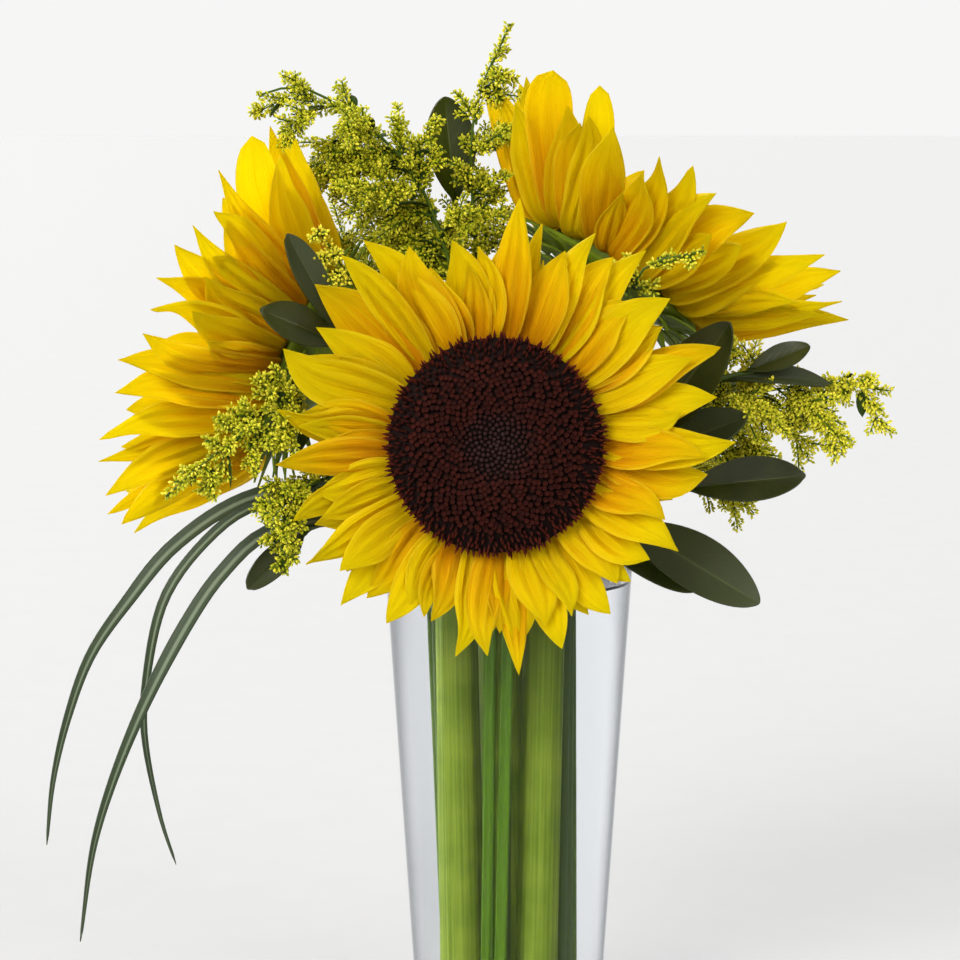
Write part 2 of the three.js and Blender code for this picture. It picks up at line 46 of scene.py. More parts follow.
MM = 0.001
CAMERA_AIM = Vector((-10.4, 0, 203)) * MM
CAMERA_REACH = 1.3
CAMERA_RISE = radians(7)
CAMERA_LENS = 135.4
SENSOR_WIDTH = 36
PHOTO_SIZE = 960
FLOOR_REACH = 12
HORIZON_WHITE = (0.922, 0.92, 0.917, 1)
STUDIO_WHITE = (0.76, 0.745, 0.72, 1)
STUDIO_GREY = (0.3, 0.31, 0.33, 1)
WHITE_FADES = (0.02, 0.35)
SIDES_FADE = (0.3, 0.8)
CARD_WHITE = (0.449, 0.451, 0.456, 1)
CARD_GREY = (0.43, 0.432, 0.441, 1)
CARD_SHADE = (0.27, 0.277, 0.293, 1)
CARD_FADES = (0.35, 1.1)
CARD_FLECKS = 35
SOFT_LIGHTS = {
    "key": ((-0.55, -0.85, 0.5), 34, 2.8, (1, 0.985, 0.96)),
    "fill": ((0.7, -0.75, 0.55), 40, 0.9, (1, 0.99, 0.98)),
    "rim": ((-0.6, 0.7, 0.5), 28, 5.0, (1, 1, 0.98)),
}


class Wire:
    """An output of a shader node; arithmetic on it adds Math nodes."""

    def __init__(self, finish, socket):
        self.finish = finish
        self.socket = socket

    def maths(self, operation, *values):
        return self.finish.add("ShaderNodeMath", {"operation": operation}, dict(enumerate(values)))

    def __add__(self, other):
        return self.maths("ADD", self, other)

    def __sub__(self, other):
        return self.maths("SUBTRACT", self, other)

    def __rsub__(self, other):
        return self.maths("SUBTRACT", other, self)

    def __mul__(self, other):
        return self.maths("MULTIPLY", self, other)

    def __mod__(self, other):
        return self.maths("MODULO", self, other)

    def __abs__(self):
        return self.maths("ABSOLUTE", self)

    __radd__ = __add__


class Finish:
    """A material, or the light of a world, in the making; add() puts one node into it."""

    def __init__(self, block):
        block.use_nodes = True
        self.block = block
        self.tree = block.node_tree
        self.tree.nodes.clear()

    def add(self, kind, settings=None, inputs=None, output=0):
        node = self.tree.nodes.new(kind)
        for name, value in (settings or {}).items():
            setattr(node, name, value)
        for name, value in (inputs or {}).items():
            if isinstance(value, Wire):
                self.tree.links.new(value.socket, node.inputs[name])
            else:
                node.inputs[name].default_value = value
        if isinstance(output, tuple):
            return [Wire(self, node.outputs[name]) for name in output]
        return Wire(self, node.outputs[output]) if node.outputs else None

    def place(self):
        return self.add("ShaderNodeTexCoord", None, None, "Object")

    def grain(self):
        """The three values that a mesh keeps at each corner for its finish."""
        return self.add("ShaderNodeAttribute", {"attribute_name": "grain"}, None, "Vector")

    def split(self, wire):
        return self.add("ShaderNodeSeparateXYZ", None, {0: wire}, (0, 1, 2))

    def blend(self, share, low, high):
        return self.add("ShaderNodeMix", {"data_type": "RGBA"}, {0: share, 6: low, 7: high}, 2)

    def between(self, value, low, high):
        """0 below low and 1 above high, with a smooth step between them."""
        ends = {"Value": value, "From Min": low, "From Max": high}
        return self.add("ShaderNodeMapRange", {"interpolation_type": "SMOOTHSTEP"}, ends)

    def fade(self, value, low, high, first, last):
        """The first colour below low and the last one above high."""
        return self.blend(self.between(value, low, high), first, last)

    def cloud(self, where, scale, detail, stretch=None):
        """Noise, finer along the axes that are stretched more."""
        if stretch:
            where = self.add("ShaderNodeMapping", None, {"Vector": where, "Scale": stretch})
        return self.add("ShaderNodeTexNoise", None, {"Vector": where, "Scale": scale, "Detail": detail})

    def bump(self, strength, distance, height):
        sizes = {"Strength": strength, "Distance": distance, "Height": height}
        return self.add("ShaderNodeBump", None, sizes)

    def skin(self, colour, roughness, gloss, more):
        looks = {"Base Color": colour, "Roughness": roughness, "Specular IOR Level": gloss}
        return self.add("ShaderNodeBsdfPrincipled", None, {**looks, **more})

    def lit_through(self, body, share, colour, normal):
        """A thin skin that lets a share of the light through, in a colour of its own."""
        glow = self.add("ShaderNodeBsdfTranslucent", None, {"Color": colour, "Normal": normal})
        return self.add("ShaderNodeMixShader", None, {0: share, 1: body, 2: glow})

    def done(self, shader):
        self.add("ShaderNodeOutputMaterial", None, {"Surface": shader})
        return self.block


def new_finish(name):
    return Finish(bpy.data.materials.new(name))


camera = bpy.data.objects.new("camera", bpy.data.cameras.new("camera"))
camera.data.sensor_width = SENSOR_WIDTH
camera.data.lens = CAMERA_LENS
away = Vector((0, -cos(CAMERA_RISE), sin(CAMERA_RISE)))
camera.location = CAMERA_AIM + CAMERA_REACH * away
camera.rotation_euler = (pi / 2 - CAMERA_RISE, 0, 0)
bpy.context.scene.collection.objects.link(camera)
bpy.context.scene.camera = camera
bpy.context.scene.view_settings.view_transform = "Standard"

for name, (place, width, power, colour) in SOFT_LIGHTS.items():
    light = bpy.data.objects.new(name, bpy.data.lights.new(name, "SUN"))
    light.data.angle = radians(width)
    light.data.energy = power
    light.data.color = colour
    light.rotation_euler = Vector(place).to_track_quat("Z", "Y").to_euler()
    bpy.context.scene.collection.objects.link(light)

studio = Finish(bpy.data.worlds.new("studio"))
bpy.context.scene.world = studio.block
compass = studio.add("ShaderNodeTexCoord", None, None, "Generated")
east, _, above = studio.split(compass)
room = studio.fade(above, *WHITE_FADES, HORIZON_WHITE, STUDIO_WHITE)
room = studio.fade(abs(east), *SIDES_FADE, room, STUDIO_GREY)
light_of_room = studio.add("ShaderNodeBackground", None, {"Color": room, "Strength": 1})
studio.add("ShaderNodeOutputWorld", None, {"Surface": light_of_room})

shape = bmesh.new()
bmesh.ops.create_grid(shape, x_segments=2, y_segments=2, size=FLOOR_REACH)
floor = bpy.data.objects.new("floor", bpy.data.meshes.new("floor"))
shape.to_mesh(floor.data)
shape.free()
bpy.context.scene.collection.objects.link(floor)
card = new_finish("pale_card")
sideways, behind, _ = card.split(card.place())
off_stage = abs(sideways) - abs(behind) * 0.2
pale = card.blend(card.cloud(card.place(), CARD_FLECKS, 4), CARD_GREY, CARD_WHITE)
shade = card.fade(off_stage, *CARD_FADES, pale, CARD_SHADE)
floor.data.materials.append(card.done(card.skin(shade, 0.85, 0.2, {})))

# Vase
# A tapered tumbler of clear pressed glass with a thick flat base. It was blown into a
# mould, its foot ground flat and its rim polished in the flame, so its edges are round.

VASE_HEIGHT = 178
VASE_FOOT_RADIUS = 33
VASE_MOUTH_RADIUS = 45
VASE_WALL = 3.5
VASE_BASE = 14
VASE_STEPS = 128
FOOT_ROUND = 2.4
HEEL_ROUND = 5
FOOT_HOLLOW = [(0, 0.9), (18, 0.7), (25, 0.25), (27.5, 0)]
FLOOR_FLAT = 12
GLASS_BEND = 1.5
GLASS_RIPPLE = 0.05
# Painted shade: where the glass is seen edge-on, its colour fades to a near-black edge colour.
PAINTED_EDGE_SHADE_FADES = (0.5, 0.84)
GLASS_TINT = (0.91, 0.922, 0.942, 1)
GLASS_PAINTED_EDGE_SHADE = (0.05, 0.065, 0.08, 1)
GLASS_SHINE = (0.12, 0.12, 0.12, 1)
SHARP_EDGE = radians(48)


def vase_outside(z):
    return VASE_FOOT_RADIUS + (VASE_MOUTH_RADIUS - VASE_FOOT_RADIUS) * z / VASE_HEIGHT


def arc(centre, radius, start, end, steps=6):
    """Points of a round stretch of a profile, from one heading in degrees to another."""
    headings = [radians(start + (end - start) * k / steps) for k in range(steps + 1)]
    return [(centre[0] + radius * cos(a), centre[1] + radius * sin(a)) for a in headings]


def turned(profile, steps):
    """A closed shape turned round Z from a profile that starts and ends on that axis."""
    shape = bmesh.new()
    corners = [shape.verts.new((r, 0, z)) for r, z in profile]
    edges = [shape.edges.new(pair) for pair in zip(corners, corners[1:])]
    whole = {"geom": corners + edges, "axis": (0, 0, 1), "angle": 2 * pi, "use_merge": True}
    bmesh.ops.spin(shape, steps=steps, **whole)
    bmesh.ops.remove_doubles(shape, verts=shape.verts, dist=1e-3)
    bmesh.ops.recalc_face_normals(shape, faces=shape.faces)
    return shape


def make_piece(name, shape, finish, slot, *nodes):
    """The shape, drawn in millimetres, becomes a piece that stands for the nodes."""
    bmesh.ops.scale(shape, vec=(MM, MM, MM), verts=shape.verts)
    for face in shape.faces:
        face.smooth = True
    for edge in shape.edges:
        edge.smooth = edge.calc_face_angle(0) < SHARP_EDGE
    mesh = bpy.data.meshes.new(name)
    shape.to_mesh(mesh)
    shape.free()
    mesh.materials.append(finish)
    piece = bpy.data.objects.new(name, mesh)
    bpy.context.scene.collection.objects.link(piece)
    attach(piece, "root")
    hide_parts(*nodes)


def clear_finish(name, tint, edge, bend, ripple):
    """Clear glass or water: it bends light, lets the lamps' light through, and its edges get painted
    shade.
    """
    finish = new_finish(name)
    waves = finish.cloud(finish.place(), 60, 1, (1, 1, 0.25))
    # Painted shade: the colour fades to the darker edge colour where the surface is seen edge-on.
    facing = finish.add("ShaderNodeLayerWeight", None, {"Blend": 0.5}, "Facing")
    body = finish.add("ShaderNodeBsdfPrincipled", None, {
        "Base Color": finish.fade(facing, *PAINTED_EDGE_SHADE_FADES, tint, edge),
        "Roughness": 0.0,
        "IOR": bend,
        "Specular Tint": GLASS_SHINE,
        "Transmission Weight": 1.0,
        "Normal": finish.bump(ripple, 0.0004, waves),
    })
    shaded = finish.add("ShaderNodeLightPath", None, None, "Is Shadow Ray")
    passing = finish.add("ShaderNodeBsdfTransparent", None, {"Color": tint})
    return finish.done(finish.add("ShaderNodeMixShader", None, {0: shaded, 1: body, 2: passing}))


inside_foot = vase_outside(VASE_BASE) - VASE_WALL
heel = inside_foot - HEEL_ROUND + 0.4
lip = vase_outside(VASE_HEIGHT) - VASE_WALL / 2
vase_profile = [
    *FOOT_HOLLOW,
    *arc((VASE_FOOT_RADIUS - FOOT_ROUND, FOOT_ROUND), FOOT_ROUND, -90, 0),
    *[(vase_outside(z), z) for z in range(12, 170, 12)],
    *arc((lip, VASE_HEIGHT - VASE_WALL / 2), VASE_WALL / 2, 0, 180, 10),
    *[(vase_outside(z) - VASE_WALL, z) for z in range(168, 24, -12)],
    *arc((heel, VASE_BASE + HEEL_ROUND), HEEL_ROUND, 0, -90),
    (FLOOR_FLAT, VASE_BASE - 0.1), (0, VASE_BASE - 0.2),
]
glass = clear_finish("clear_glass", GLASS_TINT, GLASS_PAINTED_EDGE_SHADE, GLASS_BEND, GLASS_RIPPLE)
make_piece("tumbler_vase", turned(vase_profile, VASE_STEPS), glass, "glass", "vase")

# Water
# Tap water stands in the vase nearly to its rim. It wets the glass, so its top creeps up
# the wall in a small hollow curve all the way round.

WATER_LEVEL = 166
WATER_CREEP = 1.6
CREEP_STEPS = (0.7, 1.5, 2.6, 4.2)
WATER_BEND = 1.33
WATER_OVERLAP = 0.12
WATER_TINT = (0.985, 0.99, 0.985, 1)
# Painted shade: where the water is seen edge-on, its colour fades to this darker blue-grey.
WATER_PAINTED_EDGE_SHADE = (0.6, 0.66, 0.7, 1)


def water_edge(z):
    return vase_outside(z) - VASE_WALL + WATER_OVERLAP


water_bottom = VASE_BASE - WATER_OVERLAP
top_edge = water_edge(WATER_LEVEL)
water_profile = [
    (0, water_bottom - 0.2), (FLOOR_FLAT, water_bottom - 0.1),
    *arc((heel, water_bottom + HEEL_ROUND), HEEL_ROUND + WATER_OVERLAP, -90, 0),
    *[(water_edge(z), z) for z in range(36, 160, 12)],
    (water_edge(WATER_LEVEL + WATER_CREEP), WATER_LEVEL + WATER_CREEP),
    *[(top_edge - out, WATER_LEVEL + WATER_CREEP * exp(-out / 1.1)) for out in CREEP_STEPS],
    (top_edge - 7, WATER_LEVEL), (0, WATER_LEVEL),
]
fresh_water = clear_finish("fresh_water", WATER_TINT, WATER_PAINTED_EDGE_SHADE, WATER_BEND, 0.0)
make_piece("fresh_water", turned(water_profile, VASE_STEPS), fresh_water, "water", "water")

# Sunflower stems and cups
# Each bloom grew on one thick, faintly ribbed stem, cut to length for the vase. Behind its
# head the stem widens into a green cup, set with three rows of pointed, overlapping bracts.

STEM_SPREAD = 0.85
STEM_TWIST = -0.18
STRAIGHT_ABOVE_MOUTH = 12
STEM_RADIUS = 6.1
STEM_TAPER = 0.9
STEM_SIDES = 36
STEM_STEPS = 44
STEM_RIBS = 9
RIB_DEPTH = 0.025
DISC_RADIUS = 36.5
DISC_BOTTOM = -3
RING_BOTTOM = -8.8
CUP_RADIUS = 35
CUP_DEPTH = 26
CUP_STEPS = 48
CUP_FLOOR = 3.4
BRACT_ROWS = 3
BRACTS_A_ROW = 13
BRACT_LENGTHS = (19, 25)
BRACT_WIDTH = 10.5
BRACT_THICKNESS = 0.7
STEM_PALE = (0.175, 0.23, 0.018, 1)
STEM_DEEP = (0.08, 0.13, 0.003, 1)
UP = Vector((0, 0, 1))
# Each head: its centre and the way that it faces, its place in the vase's mouth, the bend of
# its neck, its petals' rise, how much that falls from layer to layer, their size, the rise of
# the cup's bracts, and a seed.
FLOWERS = {
    "front_flower": {
        "centre": (-5, -75, 224), "facing": (0, -1, 0.1), "mouth": (10.5, -6),
        "neck": (0, 4, -4), "lift": 24, "spread": 17, "sizes": 0.8, "sweep": -14, "seed": 11,
    },
    "left_flower": {
        "centre": (-84, -4, 249), "facing": (-0.92, 0.14, 0.35), "mouth": (-14.5, 0),
        "neck": (2, 0, -6), "lift": 50, "spread": 13, "sizes": 1.06, "sweep": 0, "seed": 23,
    },
    "back_flower": {
        "centre": (44, 15, 283), "facing": (0.55, 0.12, 0.83), "mouth": (-2, 14),
        "neck": (0, 0, -3), "lift": 50, "spread": 13, "sizes": 0.96, "sweep": 0, "seed": 37,
    },
}


def mixed(low, high, share):
    return low + (high - low) * share


def length_of(line):
    return sum((far - near).length for near, far in zip(line, line[1:]))


def smooth_line(points, fine=24):
    """Close points on one smooth curve through a few points."""
    ends = [2 * points[0] - points[1], *points, 2 * points[-1] - points[-2]]
    line = []
    for before, start, end, after in zip(ends, ends[1:], ends[2:], ends[3:]):
        pairs = ((before, start), (start, end), (end, after))
        a, b, c = (sqrt((far - near).length) for near, far in pairs)
        leave = b * ((start - before) / a - (end - before) / (a + b) + (end - start) / b)
        arrive = b * ((end - start) / b - (after - start) / (b + c) + (after - end) / c)
        for k in range(fine):
            t = k / fine
            line.append(
                start * (2 * t**3 - 3 * t**2 + 1) + leave * (t**3 - 2 * t**2 + t)
                + end * (3 * t**2 - 2 * t**3) + arrive * (t**3 - t**2)
            )
    return [*line, points[-1]]


def spaced(line, steps):
    """The same line as evenly spaced points."""
    reach = [0]
    for near, far in zip(line, line[1:]):
        reach.append(reach[-1] + (far - near).length)
    points = []
    k = 0
    for step in range(steps + 1):
        goal = reach[-1] * step / steps
        while k < len(line) - 2 and reach[k + 1] < goal:
            k += 1
        share = (goal - reach[k]) / (reach[k + 1] - reach[k])
        points.append(line[k].lerp(line[k + 1], min(1, share)))
    return points


def route_of(mouth, way, clearance=1):
    """A cut stem's way: straight from the vase's floor to its mouth, then a free curve."""
    x, y = mouth
    top = Vector((x, y, VASE_HEIGHT))
    foot = Vector((
        STEM_SPREAD * (x * cos(STEM_TWIST) - y * sin(STEM_TWIST)),
        STEM_SPREAD * (x * sin(STEM_TWIST) + y * cos(STEM_TWIST)),
        VASE_BASE + clearance,
    ))
    rise = (top - foot).normalized()
    free = smooth_line([top, top + STRAIGHT_ABOVE_MOUTH * rise, *map(Vector, way)])
    return foot, free


def follow(line, face, carried=False):
    """At each point of a line: the point, the way across it and the way out of its face."""
    places = []
    for k, centre in enumerate(line):
        along = (line[min(k + 1, len(line) - 1)] - line[max(k - 1, 0)]).normalized()
        across = face.cross(along).normalized()
        places.append((centre, across, along.cross(across)))
        if carried:
            face = along.cross(across)
    return places


def grain_of(shape):
    """The layer that holds three values for the finish at each corner."""
    layers = shape.verts.layers.float_vector
    return layers.get("grain") or layers.new("grain")


def shaped_grid(columns, rows, place):
    """A grid, each corner put where place says for its share across and along, with its grain."""
    shape = bmesh.new()
    bmesh.ops.create_grid(shape, x_segments=columns, y_segments=rows, size=0.5)
    grain = grain_of(shape)
    for corner in shape.verts:
        corner.co, corner[grain] = place(corner.co.x + 0.5, corner.co.y + 0.5)
    return shape


def tube(line, foot_radius, tip_radius, sides, mark=None, ribs=0, rib_depth=0.0):
    """A round stem along a line, its ends closed; its grain is the mark, or runs round it."""
    places = follow(line, Vector((0.2, -1, 0.1)), carried=True)
    last = len(line) - 1

    def place(across, along):
        centre, one, other = places[round(along * last)]
        turn = 2 * pi * across
        radius = mixed(foot_radius, tip_radius, along)
        radius *= 1 + rib_depth * cos(ribs * turn + 3 * along)
        way = one * cos(turn) + other * sin(turn)
        return centre + way * radius, mark or (cos(turn), sin(turn), along)

    shape = shaped_grid(sides, last, place)
    bmesh.ops.remove_doubles(shape, verts=shape.verts, dist=1e-3)
    bmesh.ops.holes_fill(shape, edges=shape.edges, sides=0)
    bmesh.ops.recalc_face_normals(shape, faces=shape.faces)
    return shape


def blade(line, face, columns, half_at, relief, thickness, twist=0.0):
    """A thin leaf or petal along a line, with its relief, closed and of one thickness."""
    places = follow(line, face)
    last = len(line) - 1

    def place(across, along):
        s = 2 * across - 1
        centre, one, other = places[round(along * last)]
        turn = twist * along**2
        side = one * cos(turn) + other * sin(turn)
        above = other * cos(turn) - one * sin(turn)
        half = half_at(along)
        return centre + side * s * half + above * relief(s, along) * min(1, half), (s, along, 1)

    shape = shaped_grid(columns, last, place)
    bmesh.ops.remove_doubles(shape, verts=shape.verts, dist=1e-2)
    bmesh.ops.recalc_face_normals(shape, faces=shape.faces)
    lower = shape.verts[:]
    bmesh.ops.solidify(shape, geom=shape.faces[:], thickness=thickness)
    bmesh.ops.recalc_face_normals(shape, faces=shape.faces)
    grain = grain_of(shape)
    for corner in lower:
        corner[grain] = (*corner[grain][:2], 0)
    return shape


def gather(whole, part):
    """Adds one shape to another."""
    mesh = bpy.data.meshes.new("part")
    part.to_mesh(mesh)
    part.free()
    whole.from_mesh(mesh)
    bpy.data.meshes.remove(mesh)


def new_whole():
    whole = bmesh.new()
    grain_of(whole)
    return whole


def head_frame(flower):
    """Where a head stands: its own Z looks the way that the bloom faces."""
    z = Vector(flower["facing"]).normalized()
    y = (UP - z * UP.dot(z)).normalized()
    turn = Matrix((y.cross(z), y, z)).transposed().to_4x4()
    return Matrix.Translation(flower["centre"]) @ turn


def spoke(turn):
    """The way out from an axis at a turn round it."""
    return Vector((cos(turn), sin(turn), 0))


def sloped(out, angle):
    """The way out, raised by an angle in degrees."""
    a = radians(angle)
    return out * cos(a) + UP * sin(a)


def bract(turn, row, length, width, sweep, chance):
    """A pointed bract of the cup, with a narrow tail."""
    out = spoke(turn)
    line = [out * (0.8 * CUP_RADIUS - 2.5 * row) + UP * (RING_BOTTOM - 4.6 - 2.2 * row)]
    for angle in (sweep - 6 * row + 8, sweep - 8 * row, sweep - 10 * row - chance.uniform(0, 18)):
        line.append(line[-1] + sloped(out, angle) * length / 3)

    def half_at(t):
        return width / 2 * (0.75 + 0.25 * sin(pi * min(1, 2.2 * t))) * (1 - t**1.5) ** 0.9

    def relief(s, t):
        return 0.9 * (s * s - 0.6) * (1 - t)

    twist = chance.uniform(-0.3, 0.3)
    return blade(spaced(smooth_line(line), 12), UP, 6, half_at, relief, BRACT_THICKNESS, twist)


def cup():
    """The cup: it widens from the stem to the ring that the rays stand on."""
    flange = RING_BOTTOM - 0.4
    return turned([
        (0, -CUP_DEPTH - 1), (STEM_RADIUS - 0.3, -CUP_DEPTH - 1), (STEM_RADIUS + 0.8, -CUP_DEPTH + 1),
        (9.5, -CUP_DEPTH + 4), (15, -CUP_DEPTH + 7.4), (23, -CUP_DEPTH + 10.8), (30, -CUP_DEPTH + 13),
        (CUP_RADIUS - 1, flange - 2.4), (CUP_RADIUS, flange - 1.2), (CUP_RADIUS - 0.6, flange),
        (27.3, flange), (27.3, -CUP_FLOOR), (0, -CUP_FLOOR),
    ], CUP_STEPS)


def stem_finish():
    """Green skin with fine lengthwise streaks of paler and deeper green."""
    finish = new_finish("stem_skin")
    grain = finish.grain()
    streaks = finish.cloud(grain, 2.2, 5, (5, 5, 1.2))
    fibres = finish.cloud(grain, 2.5, 3, (24, 24, 1.5))
    blotches = finish.cloud(finish.place(), 55, 3)
    share = finish.between(streaks * 0.75 + blotches * 0.45, 0.42, 0.78)
    return finish.done(finish.skin(finish.blend(share, STEM_DEEP, STEM_PALE), fibres * 0.2 + 0.45, 0.12, {
        "Subsurface Weight": 0.12,
        "Subsurface Radius": (0.5, 1, 0.05),
        "Subsurface Scale": 0.002,
        "Normal": finish.bump(0.6, 0.0005, streaks * 0.6 + fibres * 0.5),
    }))


stem_skin = stem_finish()
for name, flower in FLOWERS.items():
    chance = random.Random(flower["seed"])
    stand = head_frame(flower)
    centre = Vector(flower["centre"])
    back = -Vector(flower["facing"]).normalized()
    nape = centre + back * (CUP_DEPTH + 10) + Vector(flower["neck"])
    foot, free = route_of(flower["mouth"], [nape, centre + back * (CUP_DEPTH - 4)], 1.4)
    whole = new_whole()
    gather(whole, cup())
    for row in range(BRACT_ROWS):
        for i in range(BRACTS_A_ROW):
            turn = 2 * pi * (i + row / 3 + chance.uniform(-0.12, 0.12)) / BRACTS_A_ROW
            length = chance.uniform(*BRACT_LENGTHS) - 2.5 * row
            gather(whole, bract(turn, row, length, BRACT_WIDTH - 1.5 * row, flower["sweep"], chance))
    bmesh.ops.transform(whole, matrix=stand, verts=whole.verts)
    line = spaced([foot, *free], STEM_STEPS)
    thin = STEM_TAPER * STEM_RADIUS
    gather(whole, tube(line, STEM_RADIUS, thin, STEM_SIDES, None, STEM_RIBS, RIB_DEPTH))
    make_piece(f"{name}_stem_and_cup", whole, stem_skin, "stem", f"{name}_stem")

# Rays
# The yellow petals are ray florets: long, grooved, pointed straps that grew in crowded
# layers from the edge of the disc. They hide the cup from the front and overlap all round.

RAY_ROOT_RADIUS = 32
RAY_NECK_RADIUS = 38.5
RAY_NECK_HEIGHT = -4
LAYER_DROP = 2.4
RAY_LENGTH = 50
RAY_WIDTH = 16
RAY_THICKNESS = 0.4
RAY_ROWS = 18
RAY_COLUMNS = 12
RAYS_A_LAYER = 15
RAY_LAYERS = 2
FILLING_RAYS = 15
COVERED = radians(16)
UNDER_MARK = (1.3, 1.7)
SIGHT_START = 1000
SIGHT_STEP = 0.3
SIGHT_STEPS = 1700
RAY_ORANGE = (0.76, 0.28, 0.0, 1)
RAY_GOLD = (0.93, 0.5, 0.0, 1)
RAY_YELLOW = (0.97, 0.72, 0.0, 1)
RAY_UNDER = (0.98, 0.84, 0.0, 1)
RAY_LIT = (1, 0.93, 0.03, 1)
RAY_VEIN = (0.7, 0.25, 0.0, 1)
# Painted highlight: the pale yellow put on each petal's rim and in streaks between its veins.
RAY_PAINTED_HIGHLIGHT = (1, 0.82, 0.03, 1)
RAY_LETS_THROUGH = 0.56
# Each head: the petals' reach where it is seen from the side, and for each petal the photo's
# pixel that shows its tip, its width and, where it isn't pointed, how blunt it is.
RAY_TIPS = {
    "front_flower": (None, [
        (520, 197, 14), (542, 223, 11), (595, 233, 13), (646, 250, 14), (671, 298, 18),
        (721, 347, 17), (736, 442, 16), (708, 475, 16), (679, 551, 16), (610, 614, 13),
        (562, 649, 13), (519, 676, 11), (487, 656, 14), (456, 657, 13), (386, 623, 14),
        (340, 606, 14), (306, 565, 13), (293, 521, 13), (275, 465, 14), (277, 409, 16),
        (283, 349, 18), (315, 284, 20), (341, 255, 13), (363, 240, 15), (409, 246, 17),
        (452, 240, 19),
    ]),
    "left_flower": (58, [
        (252, 135, 18, 3), (218, 170, 13), (213, 211, 14), (193, 225, 13), (174, 244, 15),
        (156, 277, 15), (150, 310, 14), (142, 333, 14), (117, 360, 15), (114, 393, 15),
        (99, 440, 14), (99, 462, 11), (106, 496, 14), (106, 515, 11), (121, 525, 15),
    ]),
    "back_flower": (56, [
        (553, 70, 18, 4), (600, 85, 12, 3), (613, 126, 16), (660, 156, 17), (693, 166, 15),
        (716, 193, 15), (755, 213, 17), (787, 222, 17), (825, 255, 16), (842, 302, 9),
    ]),
}


def draws(seed):
    """Numbers from 0 to 1, the same each time."""
    modulus = 2147483647
    state = seed
    while True:
        state = state * 16807 % modulus
        yield state / modulus


def sight(pixel, stand):
    """The sight line through a pixel of the photograph, in the frame of a head."""
    across = (pixel[0] / PHOTO_SIZE - 0.5) * SENSOR_WIDTH / CAMERA_LENS
    up = (0.5 - pixel[1] / PHOTO_SIZE) * SENSOR_WIDTH / CAMERA_LENS
    eye = Matrix.Translation(camera.location / MM) @ camera.rotation_euler.to_matrix().to_4x4()
    seen = stand.inverted() @ eye
    return seen.translation, (seen.to_3x3() @ Vector((across, up, -1))).normalized()


def petal_end(pixel, stand, reach, lift, low):
    """The turn, length and rise of the petal whose tip a sight line meets first."""
    start, way = sight(pixel, stand)
    slope = radians(lift)
    best = None
    for step in range(SIGHT_STEPS):
        point = start + way * (SIGHT_START + step * SIGHT_STEP)
        out = point.xy.length - RAY_NECK_RADIUS
        high = point.z - low
        if reach:
            miss = hypot(out, high) - reach
        else:
            miss = high * cos(slope) - out * sin(slope)
        if best is None or miss < best[0]:
            rise = degrees(atan2(high, out))
            best = (miss, atan2(point.y, point.x), hypot(out, high), rise)
        if miss <= 0:
            break
    return best[1:]


def neck_height(layer):
    return RAY_NECK_HEIGHT - LAYER_DROP * layer


def petal(turn, layer, length, width, rise, curl, roll, chance, blunt=0):
    """One ray: it leaves the disc nearly level, rises, and its tip curls and hooks."""
    out = spoke(turn)
    side = Vector((-out.y, out.x, 0))
    line = [
        out * RAY_ROOT_RADIUS + UP * (-5.3 - 1.8 * layer),
        out * RAY_NECK_RADIUS + UP * neck_height(layer),
    ]
    hook = side * length * chance.uniform(-0.09, 0.09)
    start = rise - 0.45 * curl
    for share, bend, lean in ((0.36, 0, 0.7), (0.34, 0.35 * curl, 0.3), (0.3, 1.1 * curl, -1)):
        line.append(line[-1] + sloped(out, start + bend) * share * length + hook * lean)
    face = UP + side * sin(radians(roll))
    point = blunt or chance.uniform(1.35, 2.2)
    belly = chance.uniform(0.42, 0.56)
    hollow = chance.uniform(-0.5, 2.2)
    depth = chance.uniform(0.45, 0.95)
    shift = chance.uniform(-0.5, 0.5)
    phase = chance.uniform(0, 6.28)
    wave = chance.uniform(0.3, 1.1)

    def half_at(t):
        swell = sin(pi / 2 * min(1, t / belly))
        taper = max(0, (t - belly) / (1 - belly))
        return width / 2 * (0.45 + 0.55 * swell) * (1 - taper**point) ** (0.5 if blunt else 1)

    def relief(s, t):
        gutter = hollow * (s * s - 1) * sin(pi * min(1, t + 0.15))
        grooves = depth * cos(3 * pi * (s + shift * t)) * sin(pi * min(1, 1.1 * t))
        edge = wave * sin(9 * t + phase + 2 * s) * abs(s) ** 3 * t
        return gutter + grooves + edge

    line = spaced(smooth_line(line, 8), RAY_ROWS)
    twist = chance.uniform(-0.45, 0.45)
    shape = blade(line, face, RAY_COLUMNS, half_at, relief, RAY_THICKNESS, twist)
    grain = grain_of(shape)
    tone = chance.random()
    place = 4 * chance.randrange(40)
    for corner in shape.verts:
        s, t, upper = corner[grain]
        corner[grain] = (s + place, t, tone + 2 * (1 - upper))
    return shape


def roll_to(turn, rise, seen_from):
    """The roll, in degrees, that turns more of a petal's face to where it is seen from."""
    out = spoke(turn)
    slope = radians(rise)
    flat = (UP * cos(slope) - out * sin(slope)).dot(seen_from)
    across = Vector((-out.y, out.x, 0)).dot(seen_from)
    return (20 + 24 * abs(across)) * (-1 if flat * across < -0.12 else 1)


def tucked(ends, turn, length, rise, chance):
    """A petal between the outermost ones stays shorter than they are."""
    gap, near = min((abs(remainder(end[0] - turn, 2 * pi)), end) for end in ends)
    if gap > COVERED:
        return min(length, RAY_LENGTH), rise
    return min(length, near[1] * chance.uniform(0.7, 0.9)), near[2] + chance.uniform(-7, 7)


